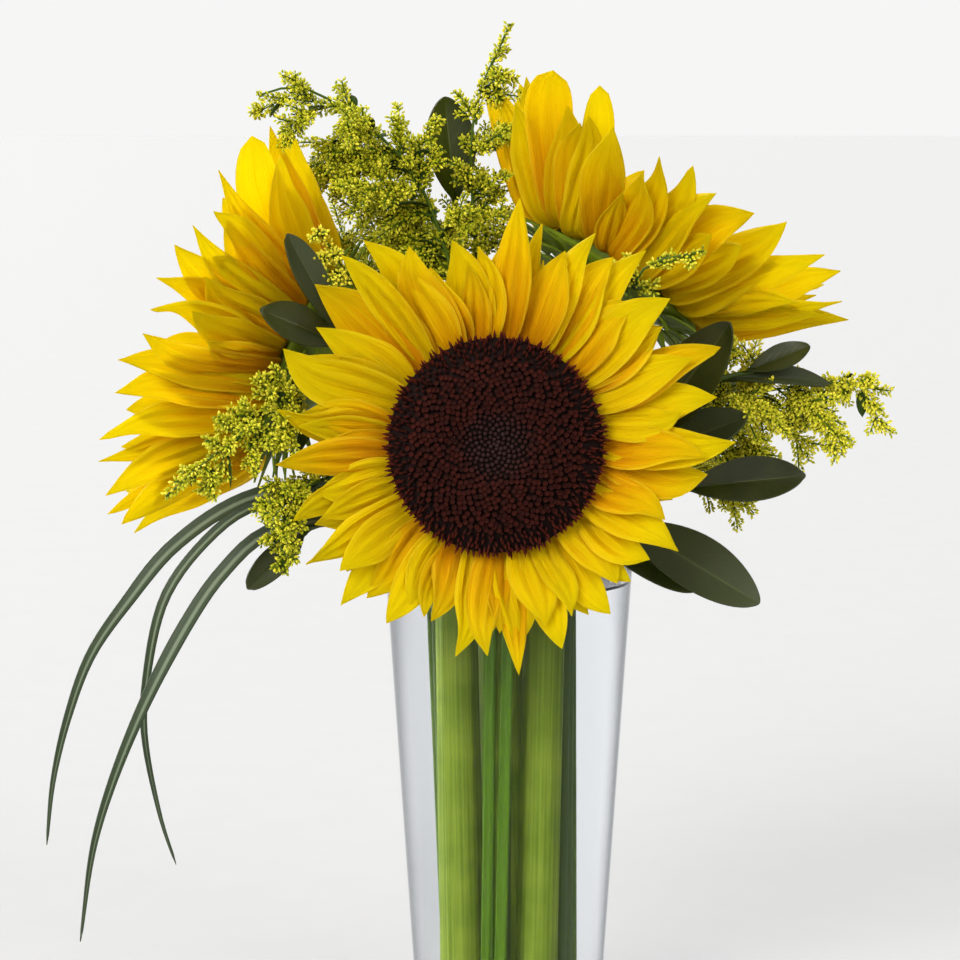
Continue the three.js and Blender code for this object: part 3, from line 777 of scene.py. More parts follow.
def bloom(name, flower):
    """The rays of a head: those whose tips show outermost, two layers more, and short ones."""
    draw = draws(flower["seed"])
    chance = random.Random(flower["seed"] + 5)
    stand = head_frame(flower)
    seen_from = (stand.inverted() @ (camera.location / MM)).normalized()
    whole = new_whole()

    def lay(turn, layer, length, width, rise, curl, *blunt):
        roll = roll_to(turn, rise, seen_from)
        gather(whole, petal(turn, layer, length, width, rise, curl, roll, chance, *blunt))

    ends = []
    reach, tips = RAY_TIPS[name]
    for i, (x, y, width, *blunt) in enumerate(tips):
        layer = i % 2
        lift = flower["lift"] - 0.5 * flower["spread"] * layer
        turn, length, rise = petal_end((x, y), stand, reach, lift, neck_height(layer))
        ends.append((turn, length, rise))
        lay(turn, layer, length, width, rise, chance.uniform(-14, 4), *blunt)
    for layer in range(RAY_LAYERS):
        for i in range(RAYS_A_LAYER):
            turn = 2 * pi * (i + layer / 2 + 0.24 * (next(draw) - 0.5)) / RAYS_A_LAYER
            length = RAY_LENGTH * flower["sizes"] * (0.82 + 0.3 * next(draw) + 0.06 * layer)
            width = RAY_WIDTH * (0.85 + 0.3 * next(draw))
            rise = flower["lift"] - flower["spread"] * layer + 7 * (next(draw) - 0.5)
            curl = -5 - 9 * next(draw)
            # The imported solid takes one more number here, for the roll of its petal.
            next(draw)
            length, rise = tucked(ends, turn, length, rise, chance)
            lay(turn, layer, length, width, rise, curl)
    for i in range(FILLING_RAYS):
        turn = 2 * pi * (i + 0.3 + chance.uniform(-0.2, 0.2)) / FILLING_RAYS
        length = RAY_LENGTH * flower["sizes"] * chance.uniform(0.6, 0.85)
        rise = flower["lift"] - flower["spread"] * chance.uniform(-0.1, 0.6)
        length, rise = tucked(ends, turn, length, rise, chance)
        width = RAY_WIDTH * chance.uniform(0.62, 0.9)
        lay(turn, 0.4, length, width, rise, chance.uniform(-14, 8))
    return whole


def ray_finish():
    """Petal skin: orange at the root, yellow at the tip, veined, paler beneath, with painted highlights
    on rim and streaks.
    """
    finish = new_finish("ray_skin")
    grain = finish.grain()
    across, along, tone = finish.split(grain)
    under = finish.between(tone, *UNDER_MARK)
    # Painted highlight: this mask lightens each petal near its rim.
    rim = finish.between(abs((across + 1) % 4 - 1), 0.8, 1)
    streaks = finish.cloud(grain, 3.2, 4, (3.2, 0.8, 3))
    veins = finish.cloud(grain, 3, 2, (15, 0.5, 3))
    along_tone = along + (tone - under * 2) * 0.35 + streaks * 0.8 - 0.6
    base = finish.fade(along_tone, 0.02, 0.42, RAY_ORANGE, RAY_GOLD)
    skin = finish.fade(along_tone, 0.25, 0.95, base, RAY_YELLOW)
    skin = finish.blend(under * 0.75, skin, RAY_UNDER)
    # Painted highlight: pale yellow streaks and the pale rim stand in for light on the creases and edges.
    painted_streak_highlights = 1 - finish.between(veins, 0.3, 0.47)
    skin = finish.blend(rim * 0.4 + painted_streak_highlights * 0.4, skin, RAY_PAINTED_HIGHLIGHT)
    lines = finish.between(veins, 0.5, 0.68) * (1.2 - along) * 0.6
    colour = finish.blend(lines, skin, RAY_VEIN)
    bump = finish.bump(0.8, 0.0009, veins * 0.7 + streaks * 0.5)
    body = finish.skin(colour, 0.55, 0.08, {"Normal": bump})
    lit = finish.blend(0.6, colour, RAY_LIT)
    return finish.done(finish.lit_through(body, RAY_LETS_THROUGH, lit, bump))


ray_skin = ray_finish()
for name, flower in FLOWERS.items():
    whole = bloom(name, flower)
    bmesh.ops.transform(whole, matrix=head_frame(flower), verts=whole.verts)
    make_piece(f"{name}_petals", whole, ray_skin, "rays", f"{name}_rays")

# Discs
# The dark centre of each bloom is a low dome crowded with florets, set by the golden angle:
# tight buds in the dimple, open ones with five lobes, and tall feathery ones at the rim.

DISC_DOME = 8
DISC_DIMPLE = 3
DISC_FLORETS = 1300
DISC_STEPS = 48
DIMPLE_SHARE = 0.33
TALL_SHARE = 0.8
BUD_SIZE = (1.85, (1.8, 2.3))
STAR_SIZE = (1.9, (1.7, 2.7))
SPIKE_SIZE = (1.5, (2.6, 4.2))
CHAFF = 110
CHAFF_HEIGHTS = (2.6, 4.6)
GOLDEN_ANGLE = pi * (3 - sqrt(5))
DISC_DARK = (0.007, 0.002, 0.0014, 1)
DISC_MAROON = (0.033, 0.0042, 0.0018, 1)
DISC_RED = (0.09, 0.011, 0.004, 1)
DISC_GREY = (0.022, 0.012, 0.012, 1)


def disc_height(r):
    t = r / DISC_RADIUS
    return DISC_DOME * (1 - t**4) - DISC_DIMPLE * exp(-((t / 0.3) ** 2))


def cone(sides, foot, top, depth, middle):
    """A closed cone whose middle is at a height."""
    shape = bmesh.new()
    bmesh.ops.create_cone(shape, segments=sides, radius1=foot, radius2=top, depth=depth, cap_ends=True)
    bmesh.ops.translate(shape, vec=(0, 0, middle), verts=shape.verts)
    return shape


def faces_where(shape, test):
    """The faces whose every corner passes the test."""
    return [face for face in shape.faces if all(test(corner) for corner in face.verts)]


def open_foot(shape):
    """Takes away the face that stands in the dome."""
    hidden = faces_where(shape, lambda corner: corner.co.z < 0.01)
    bmesh.ops.delete(shape, geom=hidden, context="FACES_ONLY")


def kept(shape):
    """The shape as a mesh to copy; its grain holds the height of each corner."""
    grain = grain_of(shape)
    for corner in shape.verts:
        corner[grain] = (0, corner.co.z, 0)
    mesh = bpy.data.meshes.new("copied")
    shape.to_mesh(mesh)
    shape.free()
    return mesh


def closed_floret():
    """A tight bud, one unit tall and one wide."""
    shape = bmesh.new()
    bmesh.ops.create_icosphere(shape, subdivisions=1, radius=0.5)
    bmesh.ops.translate(shape, vec=(0, 0, 0.4), verts=shape.verts)
    return kept(shape)


def open_floret():
    """A tube that opens in five lobes round a sunken middle."""
    shape = cone(10, 0.3, 0.4, 1, 0.5)
    open_foot(shape)
    rim = [v for v in shape.verts if v.co.z > 0.9]
    for corner in rim:
        lobe = cos(5 * atan2(corner.co.y, corner.co.x))
        corner.co.xy *= 1.25 + 0.45 * lobe
        corner.co.z += 0.08 * lobe
    top = faces_where(shape, lambda corner: corner in rim)
    bmesh.ops.inset_region(shape, faces=top, thickness=0.17)
    inner = {v for f in top for v in f.verts}
    bmesh.ops.translate(shape, vec=(0, 0, -0.22), verts=list(inner))
    return kept(shape)


def spike():
    """A pointed scale, one unit tall."""
    shape = cone(5, 0.5, 0.32, 0.55, 0.275)
    open_foot(shape)
    bmesh.ops.poke(shape, faces=faces_where(shape, lambda corner: corner.co.z > 0.5))
    peak = max(shape.verts, key=lambda v: v.co.z - v.co.xy.length)
    peak.co.z = 1
    return kept(shape)


def copy_into(whole, mesh, matrix, tone, place=0.0):
    """Adds a copy of a mesh, its grain holding its place, its height and its tone."""
    made = mesh.copy()
    made.transform(matrix)
    for item in made.attributes["grain"].data:
        item.vector = (place, item.vector[1], tone)
    whole.from_mesh(made)
    bpy.data.meshes.remove(made)


def standing(where, way, wide, tall, spin=0.0):
    """The matrix that stands a copied shape at a place, pointing a way."""
    turn = way.to_track_quat("Z", "Y").to_matrix().to_4x4() @ Matrix.Rotation(spin, 4, "Z")
    return Matrix.Translation(where) @ turn @ Matrix.Diagonal((wide, wide, tall, 1))


def leaning(chance, reach):
    """A small level step in any direction."""
    return Vector((chance.uniform(-reach, reach), chance.uniform(-reach, reach), 0))


def disc(seed):
    """The dome and its florets, drawn facing up."""
    chance = random.Random(seed)
    rings = [DISC_RADIUS * k / 16 for k in range(17)]
    dome = [(r, disc_height(r) - 0.5) for r in rings]
    dome = turned([*dome, (0.94 * DISC_RADIUS, DISC_BOTTOM), (0, DISC_BOTTOM)], DISC_STEPS)
    grain = grain_of(dome)
    for corner in dome.verts:
        corner[grain] = (corner.co.xy.length / DISC_RADIUS, 0, 0.5)
    whole = new_whole()
    gather(whole, dome)
    for i in range(DISC_FLORETS):
        share = sqrt((i + 0.5) / DISC_FLORETS)
        r = share * (DISC_RADIUS - 0.3)
        turn = i * GOLDEN_ANGLE + chance.uniform(-0.03, 0.03)
        out = spoke(turn)
        slope = (disc_height(r + 0.1) - disc_height(r)) / 0.1
        normal = (UP - out * slope).normalized()
        where = out * r + UP * (disc_height(r) - 0.7)
        if share < DIMPLE_SHARE:
            mesh, size, lean = bud, BUD_SIZE, out * -0.35
        elif share < TALL_SHARE:
            mesh, size, lean = star, STAR_SIZE, out * chance.uniform(-0.25, 0.1)
        else:
            mesh, size = point, SPIKE_SIZE
            lean = out * chance.uniform(0.0, 0.5) + leaning(chance, 0.3)
        matrix = standing(where, normal + lean, size[0], chance.uniform(*size[1]), turn)
        copy_into(whole, mesh, matrix, chance.random(), share)
    for i in range(CHAFF):
        out = spoke(2 * pi * (i + chance.uniform(-0.4, 0.4)) / CHAFF)
        way = out + UP * chance.uniform(-0.1, 0.5) + leaning(chance, 0.2)
        where = out * (DISC_RADIUS - chance.uniform(1.0, 2.4)) + UP * chance.uniform(-1.2, 0.6)
        matrix = standing(where, way, SPIKE_SIZE[0], chance.uniform(*CHAFF_HEIGHTS))
        copy_into(whole, point, matrix, chance.random(), 1.05)
    return whole


def disc_finish():
    """Velvety maroon-black, redder on the tips at the rim and greyer in the dimple."""
    finish = new_finish("disc_florets")
    out, height, tone = finish.split(finish.grain())
    specks = finish.cloud(finish.place(), 900, 3)
    tips = finish.between(height + tone * 0.4 - 0.2, 0.35, 1.0)
    skin = finish.blend(tips, DISC_DARK, DISC_MAROON)
    rim = finish.between(out, 0.72, 1.02) * finish.between(height, 0.1, 0.9)
    skin = finish.blend(rim, skin, DISC_RED)
    skin = finish.blend((1 - finish.between(out, 0.12, 0.42)) * tips, skin, DISC_GREY)
    bump = finish.bump(0.5, 0.0002, specks)
    return finish.done(finish.skin(skin, 0.66 + specks * 0.3, 0.12, {"Normal": bump}))


bud = closed_floret()
star = open_floret()
point = spike()
disc_florets = disc_finish()
for name, flower in FLOWERS.items():
    whole = disc(flower["seed"] + 3)
    bmesh.ops.transform(whole, matrix=head_frame(flower), verts=whole.verts)
    make_piece(f"{name}_florets", whole, disc_florets, "disc", f"{name}_disc")

# Leafy stems
# Twigs of an evergreen with smooth, leathery oval leaves, dark above and paler below, each
# on a short stalk, with a pale midrib and faint side veins. They fill the bouquet's sides.

TWIG_RADIUS = 1.7
TWIG_TIP = 0.9
TWIG_MARK = (1.2, 1.8)
TWIG_STEPS = 40
WAY_STEPS = 60
LEAF_THICKNESS = 0.7
LEAF_ROWS = 26
LEAF_COLUMNS = 12
LEAF_DARK = (0.017, 0.021, 0.003, 1)
LEAF_GREEN = (0.046, 0.054, 0.008, 1)
LEAF_UNDER = (0.038, 0.048, 0.014, 1)
LEAF_VEIN = (0.1, 0.12, 0.035, 1)
LEAF_LIT = (0.26, 0.32, 0.008, 1)
LEAF_LETS_THROUGH = 0.3
TWIG_GREEN = (0.05, 0.09, 0.006, 1)
# Each stem: its place in the vase's mouth, its way, and for each leaf the share of the way
# where it grows, its tip, its width and the way that it faces.
LEAFY_STEMS = {
    "leafy_stem_top": ((-14, 20.5), [(-20, 32, 240), (-19, 22, 296), (-20, 21, 303)], [
        (0.97, (-23, 20, 340), 19, (0.3, -1, 0.1)),
        (0.7, (-48, 34, 290), 15, (-0.2, 0.5, 0.9)),
        (0.62, (6, 52, 278), 15, (0.2, 0.7, 0.8)),
    ]),
    "leafy_stem_left": ((0, -15.5), [(-40, -38, 222), (-54, -52, 252), (-60, -57, 262)], [
        (0.98, (-76, -60, 295), 11, (0.4, -1, 0.3)),
        (0.93, (-85, -63, 269), 14, (0.1, -1, 0.5)),
    ]),
    "leafy_stem_right": (
        (15.5, 10), [(44, -18, 214), (54, -27, 234), (74, -24, 242), (86, -21, 244)], [
            (0.5, (77, -38, 263), 21, (-0.1, -1, 0.3)),
            (0.42, (83, -36, 230), 17, (0.1, -1, 0.5)),
            (0.97, (106, -22, 253), 10, (0, -0.9, 0.6)),
            (0.9, (114, -16, 240), 9, (0.2, -0.6, 0.8)),
        ]),
    "leafy_stem_low_right": ((15.5, 4.5), [(38, -32, 194), (50, -31, 200), (60, -27, 203)], [
        (0.98, (104, -26, 208), 17, (0, -0.9, 0.5)),
        (0.68, (87, -47, 165), 20, (0.3, -1, 0.3)),
        (0.3, (64, -45, 169), 14, (0, -0.9, 0.5)),
    ]),
    "leafy_stem_low_left": ((-18.5, 12), [(-52, -30, 196), (-66, -44, 194), (-72, -50, 190)], [
        (0.98, (-91, -56, 172), 10, (0, -1, 0.4)),
        (0.6, (-80, -22, 186), 13, (0, 0.3, 1)),
    ]),
    "leafy_stem_back": ((-8.5, 23.5), [(-14, 52, 210), (-24, 66, 232), (-30, 74, 246)], [
        (0.98, (-40, 92, 276), 17, (0, 0.8, 0.6)),
        (0.75, (-62, 70, 226), 18, (-0.3, 0.6, 0.7)),
        (0.6, (8, 84, 216), 18, (0.2, 0.6, 0.7)),
        (0.4, (-38, 70, 196), 15, (-0.2, 0.6, 0.7)),
    ]),
    "leafy_stem_back_right": ((10.5, 21), [(44, 36, 198), (58, 50, 210), (64, 56, 216)], [
        (0.98, (92, 72, 232), 17, (0.4, 0.6, 0.7)),
        (0.75, (94, 40, 202), 17, (0.5, 0.3, 0.8)),
        (0.6, (42, 82, 200), 16, (0.1, 0.6, 0.7)),
    ]),
}


def on_line(line, share):
    """The point at a share of the way along a line of even steps, and the way it heads."""
    place = min(share, 0.999) * (len(line) - 1)
    k = int(place)
    return line[k].lerp(line[k + 1], place - k), (line[k + 1] - line[k]).normalized()


def leaf(foot, tip, width, face, chance):
    """An oval leaf on its stalk, folded a little along the midrib, its edge faintly waved."""
    along = tip - foot
    length = along.length
    sag = (face - along * face.dot(along) / length**2).normalized()
    droop = chance.uniform(-0.03, 0.02) * length
    closer = [sin(pi / 2 * k / LEAF_ROWS) for k in range(LEAF_ROWS + 1)]
    sags = [0.07 * length * sin(pi * t) + droop * t * t for t in closer]
    line = [foot + along * t + sag * depth for t, depth in zip(closer, sags)]
    phase = chance.uniform(0, 6.28)
    fullness = chance.uniform(0.95, 1.25)

    def half_at(row):
        t = closer[round(row * LEAF_ROWS)]
        stalk = 0.045 * width
        if t < 0.08:
            return stalk
        u = (t - 0.08) / 0.92
        return max(stalk * (1 - u), width / 2 * sin(pi * min(1, u**fullness)) ** 0.6)

    def relief(s, t):
        fold = 0.34 * width / 2 * (abs(s) ** 1.2 - 1) * sin(pi * min(1, t + 0.1))
        rib = -0.45 * exp(-((s / 0.1) ** 2)) * (1 - t)
        wave = 0.5 * sin(8 * t + phase) * s * s
        return fold + rib + wave

    return blade(line, face, LEAF_COLUMNS, half_at, relief, LEAF_THICKNESS, chance.uniform(-0.25, 0.25))


def leaf_finish():
    """Leathery leaf skin, glossy above, with the midrib and side veins picked out."""
    finish = new_finish("leaf_skin")
    across, along, upper = finish.split(finish.grain())
    aside = abs(across)
    patches = finish.cloud(finish.place(), 45, 4)
    pores = finish.cloud(finish.place(), 1500, 2)
    ribs = (along * 9 - aside * 2.4 + patches * 0.25 + 5) % 1
    side_veins = 1 - finish.between(abs(ribs - 0.5), 0.0, 0.09)
    midrib = 1 - finish.between(aside, 0.015, 0.07)
    veins = midrib.maths("MAXIMUM", midrib, side_veins * 0.16)
    top = finish.fade(patches, 0.3, 0.75, LEAF_DARK, LEAF_GREEN)
    skin = finish.blend(upper, LEAF_UNDER, top)
    skin = finish.fade(upper, *TWIG_MARK, skin, TWIG_GREEN)
    skin = finish.blend(veins * 0.6, skin, LEAF_VEIN)
    roughness = 0.3 + abs(1 - upper) * 0.2 + patches * 0.1
    bump = finish.bump(0.5, 0.0004, patches * 0.15 + pores * 0.15 - veins * 0.8)
    body = finish.skin(skin, roughness, 0.4, {"Normal": bump})
    return finish.done(finish.lit_through(body, LEAF_LETS_THROUGH, LEAF_LIT, bump))


leaf_skin = leaf_finish()
for order, (name, (mouth, way, leaves)) in enumerate(LEAFY_STEMS.items()):
    chance = random.Random(400 + order)
    foot, free = route_of(mouth, way)
    whole = new_whole()
    line = spaced([foot, *free], TWIG_STEPS)
    gather(whole, tube(line, TWIG_RADIUS, TWIG_TIP, 10, (0.5, 0, 2)))
    even = spaced(free, WAY_STEPS)
    for share, tip, width, face in leaves:
        stalk_foot, _ = on_line(even, share)
        gather(whole, leaf(stalk_foot, Vector(tip), width, Vector(face), chance))
    make_piece(f"{name}_leaves", whole, leaf_skin, "leaf", name)

# Grass
# Three long blades of lily grass, folded along the middle, glossy and finely ribbed. They
# stand in the water with the stems and arch out over the rim to the left.

GRASS_THICKNESS = 0.6
GRASS_ROWS = 90
GRASS_COLUMNS = 10
GRASS_SHARE_IN_VASE = 0.5
GRASS_DARK = (0.018, 0.032, 0.01, 1)
# Painted sheen: the pale greyish green of a glossy stripe along each blade.
GRASS_PAINTED_SHEEN = (0.17, 0.21, 0.13, 1)
GRASS_FOOT = (0.055, 0.12, 0.0, 1)
# Each blade: its place in the vase's mouth, its way, its width and the way that it faces.
GRASSES = {
    "grass_blade_outer": ((-5.5, -9), [
        (-64, -34, 205), (-92, -44, 202), (-117, -48, 186), (-133, -50, 167), (-146, -50, 148),
        (-154, -50, 127), (-160, -48, 103), (-163, -45, 79),
    ], 5, (-0.25, -0.9, 0.4)),
    "grass_blade_thin": ((-5.5, -20), [
        (-56, -46, 205), (-90, -53, 200), (-105, -56, 189), (-119, -60, 170), (-126, -60, 140),
        (-127, -58, 122), (-122, -54, 91), (-117, -50, 73),
    ], 3.4, (-0.25, -0.9, 0.4)),
    "grass_blade_lower": ((0, -21), [
        (-50, -52, 197), (-84, -59, 192), (-99, -62, 179), (-111, -66, 162), (-129, -70, 127),
        (-143, -68, 88), (-150, -60, 48),
    ], 5, (-0.25, -0.9, 0.4)),
}


def grass_blade(mouth, way, width, face):
    foot, free = route_of(mouth, way)
    line = spaced([foot, *free], GRASS_ROWS)
    reach = length_of(free)
    inside = (free[0] - foot).length
    start = inside / (inside + reach)

    def half_at(along):
        t = max(0, (along - start) / (1 - start))
        return width / 2 * max(0, min(0.55 + 1.5 * t, 1, 2.4 * (1 - t)))

    def relief(s, _):
        return 0.3 * width / 2 * (abs(s) ** 1.2 - 1) + 0.08 * cos(4 * pi * s)

    return blade(line, Vector(face), GRASS_COLUMNS, half_at, relief, GRASS_THICKNESS)


def grass_finish():
    """Glossy grass skin with fine lengthwise ribs and a pale stripe near the middle painted as sheen."""
    finish = new_finish("grass_skin")
    grain = finish.grain()
    across, along, _ = finish.split(grain)
    ribs = finish.cloud(grain, 2.2, 3, (9, 1.5, 1))
    # Painted sheen: a pale stripe just off the middle of the blade, with lighter flecks along the ribs.
    painted_sheen_stripe = 1 - finish.between(abs(across - 0.15), 0.1, 0.45)
    skin = finish.blend(painted_sheen_stripe * 0.75 + ribs * 0.25, GRASS_DARK, GRASS_PAINTED_SHEEN)
    skin = finish.fade(along, 0.3, GRASS_SHARE_IN_VASE, GRASS_FOOT, skin)
    return finish.done(finish.skin(skin, 0.36, 0.25, {"Normal": finish.bump(0.5, 0.0004, ribs)}))


grass_skin = grass_finish()
for name, blade_facts in GRASSES.items():
    make_piece(f"{name}_strap", grass_blade(*blade_facts), grass_skin, "grass", name)

# Goldenrod
# Each spray is one cut stem whose side branches are plumes crowded with tiny flower heads,
# green in bud and yellow as they open. The branches spring from the stem and then arch over.

SPRAY_STEM = 1.3
BRANCH_RADIUS = 0.45
HEADS_A_SQUARE_MM = 1.68
ROD_GREEN = (0.07, 0.1, 0.003, 1)
ROD_LIME = (0.4, 0.42, 0.006, 1)
ROD_YELLOW = (0.8, 0.72, 0.05, 1)
ROD_STEM = (0.08, 0.14, 0.006, 1)
ROD_LEAF = (0.025, 0.05, 0.004, 1)
COARSE_STEPS = 7
STEM_LEAVES = 14
STEM_LEAF_WIDTH = 4.6
KEPT_POINTS = 19
TWIG_SPACING = 3
TRIED_TURNS = (0, 0.5, -0.5, 1, -1, 1.6, -1.6, 2.3, -2.3, 3.1)
SEATED_WITHIN = 0.4
PLAIN_MARK = (1.3, 1.7)
# Each spray: its place in the vase's mouth, its way, the share of it where the branches start,
# their number, reach and droop, a seed, the plumes' width and ripeness, the extra branches,
# and more branches by the photo's pixel that shows the tip, and the tip's depth.
SPRAYS = {
    "goldenrod_top_left": ((-12.6, 13.5), [
        (-14, 8, 230), (-21, 0, 280), (-36, -4, 316), (-56, -10, 334), (-74, -14, 344), (-88, -18, 341),
    ], 0.5, 12, 40, 0.35, 101, 2.5, 0.5, 4, [
        (300, 190, -6), (312, 160, -8), (335, 142, -4), (360, 122, 4), (398, 102, 8), (408, 132, 12),
        (330, 215, 0), (352, 240, 6), (385, 190, -14), (372, 225, 14), (410, 160, -12), (380, 150, 6),
        (405, 240, 20), (440, 235, 24), (455, 200, 22), (345, 175, -16), (288, 205, -4), (425, 205, 4),
        (315, 180, 10), (365, 165, 16), (345, 200, 18), (395, 262, 6), (435, 262, 8), (470, 222, 12),
        (335, 188, 30), (350, 228, 34), (428, 222, 36), (380, 262, 34),
    ]),
    "goldenrod_top": ((-2.5, 25.5), [
        (-7, 22, 240), (-13, 12, 300), (-12, 10, 336), (0.3, 7, 366),
    ], 0.5, 9, 24, 0, 131, 2.4, 0.55, 3, [
        (524, 98, 6), (486, 95, 8), (499, 72, 8), (519, 80, 8), (478, 112, 6), (520, 128, 4),
        (486, 150, 2), (514, 175, 2), (463, 170, 8), (500, 215, 4), (480, 245, 0), (512, 240, 6),
        (478, 170, 24), (484, 205, 26),
    ]),
    "goldenrod_left": ((0, -10), [
        (-54, -44, 222), (-76, -64, 233), (-94, -82, 226), (-116, -87, 208),
    ], 0.45, 8, 24, 0.25, 151, 2.4, 0.6, 2, [
        (182, 470, -88), (205, 440, -90), (215, 415, -84), (240, 400, -84), (270, 360, -68),
        (250, 375, -72), (290, 385, -70), (230, 450, -90), (215, 485, -86), (250, 430, -88),
        (270, 450, -84), (255, 480, -84), (285, 420, -78), (296, 460, -78),
    ]),
    "goldenrod_low_left": ((-5.5, -14.5), [
        (-56, -48, 210), (-70, -66, 208), (-78, -72, 194), (-77, -74, 180),
    ], 0.5, 6, 16, 0.2, 173, 2.3, 0.5, 1, [
        (262, 480, -78), (248, 515, -78), (258, 545, -76), (275, 568, -78), (296, 560, -78),
        (305, 530, -76), (290, 490, -80), (270, 520, -84), (308, 500, -76), (283, 540, -84),
    ]),
    "goldenrod_right": ((15.5, 15.5), [
        (50, -2, 214), (75, -8, 231), (96, -10, 237), (120, -10, 239), (136, -10, 236),
    ], 0.4, 11, 38, 0.3, 191, 3.1, 0.76, 2, [
        (712, 342, -14), (735, 332, -12), (758, 335, -10), (722, 370, -16), (748, 372, -18),
        (775, 360, -6), (800, 368, -14), (742, 405, -8), (768, 420, -16), (790, 440, -10),
        (826, 436, -10), (815, 410, -16), (760, 455, -12), (745, 470, -10), (780, 475, -14),
        (765, 522, -12), (845, 400, -10), (825, 378, -8), (765, 385, -20), (725, 440, -6),
    ]),
    "goldenrod_upper_right": ((10, 5.5), [
        (38, -38, 228), (38, -50, 262), (46, -57, 283), (66, -60, 289),
    ], 0.72, 4, 12, 0, 211, 2.0, 0.65, 0, [
        (612, 262, -56), (625, 252, -58), (655, 264, -60), (690, 268, -60),
    ]),
    "goldenrod_upper_left": ((0, -4.5), [
        (-36, -38, 226), (-46, -44, 262), (-58, -50, 284), (-66, -54, 296),
    ], 0.7, 5, 14, 0, 229, 2.1, 1.0, 0, [
        (310, 238, -56), (325, 232, -56), (312, 262, -58), (335, 255, -58), (345, 280, -54),
        (325, 280, -58),
    ]),
    "goldenrod_back_left": ((-19, 18), [
        (-40, 44, 230), (-56, 62, 270), (-66, 72, 300),
    ], 0.42, 6, 30, 0.15, 251, 2.5, 0.5, 8, [
        (345, 236, 32), (438, 188, 32), (364, 262, 32), (447, 212, 34),
    ]),
    "goldenrod_back": ((4, 24.5), [
        (10, 48, 230), (6, 64, 270), (2, 70, 310),
    ], 0.42, 6, 30, 0.15, 271, 2.5, 0.5, 9, []),
}


def outward_of(along, turn):
    """The way out from a stem that heads along, at a turn round it."""
    across = along.cross(Vector((0.2, 0.9, 0.3))).normalized()
    return across * cos(turn) + along.cross(across) * sin(turn)


def arched(foot, middle, tip, steps):
    """A curve from foot to tip, drawn towards a point between them."""
    shares = [k / steps for k in range(steps + 1)]
    return [foot * (1 - t) ** 2 + middle * 2 * t * (1 - t) + tip * t * t for t in shares]


def branch_line(foot, along, out, length, droop):
    """A side branch's curve: it leaves forward and outward, and its tip hangs."""
    way = (along * 0.75 + out * 0.8).normalized()
    tip = foot + way * length - UP * droop * length
    return arched(foot, foot + way * 0.55 * length, tip, max(3, round(length / 2.5)))


def seated(surface, foot, along, turn, length, droop):
    """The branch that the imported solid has, out of the turns that it may have taken."""
    for step in TRIED_TURNS:
        line = branch_line(foot, along, outward_of(along, turn + step), length, droop)
        if surface.find_nearest(line[-1])[3] < SEATED_WITHIN:
            return line
    line = branch_line(foot, along, outward_of(along, turn), 0.45 * length, droop)
    return line if surface.find_nearest(line[-1])[3] < SEATED_WITHIN else None


def reaching(stem, pixel, depth):
    """A branch to the place that a pixel of the photograph shows at a depth."""
    start, way = sight(pixel, Matrix.Identity(4))
    tip = start + way * ((depth - start.y) / way.y)
    nearest = min(stem, key=lambda p: (p - tip).length)
    gap = (nearest - tip).length
    foot = next(p for p in stem if (p - nearest).length <= 0.6 * gap)
    return arched(foot, foot.lerp(tip, 0.5) + UP * 0.16 * gap, tip, max(5, round(gap / 2.5)))


def stem_leaf(whole, foot, way, length, chance):
    """A narrow pointed leaf of the goldenrod's own stem."""
    line = [foot + way * length * t - UP * 0.3 * length * t * t for t in (k / 6 for k in range(7))]
    shape = blade(
        line, UP + Vector((0.1, 0.2, 0)), 4,
        lambda t: STEM_LEAF_WIDTH / 2 * sin(pi * mixed(0.08, 1, t)) ** 0.8,
        lambda s, t: 0.5 * abs(s), 0.3, chance.uniform(-0.8, 0.8),
    )
    grain = grain_of(shape)
    for corner in shape.verts:
        corner[grain] = (2, 1, 0)
    gather(whole, shape)


def plume(whole, line, wide, ripe, chance):
    """A thin branch crowded with tiny flower heads that lean towards its tip."""
    gather(whole, tube(line, BRANCH_RADIUS, 0.25, 4, (2, 0.2, 0)))
    count = round(length_of(line) * wide * HEADS_A_SQUARE_MM)
    even = spaced(line, 2 * len(line))
    for i in range(count):
        share = (i + chance.random()) / count
        centre, along = on_line(even, 0.04 + 0.96 * share)
        out = outward_of(along, i * GOLDEN_ANGLE + chance.uniform(-0.4, 0.4))
        reach = wide * (1 - 0.6 * share**2) * chance.uniform(0.1, 0.8)
        way = out + along * chance.uniform(0.3, 1.3)
        tall = chance.uniform(1.5, 2.4)
        matrix = standing(centre + out * reach, way, tall * chance.uniform(0.42, 0.55), tall)
        copy_into(whole, floret, matrix, min(1, max(0, chance.gauss(ripe, 0.25))), share)


def flower_head():
    """A tiny flower head: a bud that is widest above its middle and pointed at both ends."""
    shape = cone(5, 0.5, 0, 0.4, 0.8)
    bmesh.ops.poke(shape, faces=faces_where(shape, lambda corner: corner.co.z < 0.7))
    foot = min(shape.verts, key=lambda v: v.co.z + v.co.xy.length)
    foot.co.z = 0
    bmesh.ops.remove_doubles(shape, verts=shape.verts, dist=1e-4)
    return kept(shape)


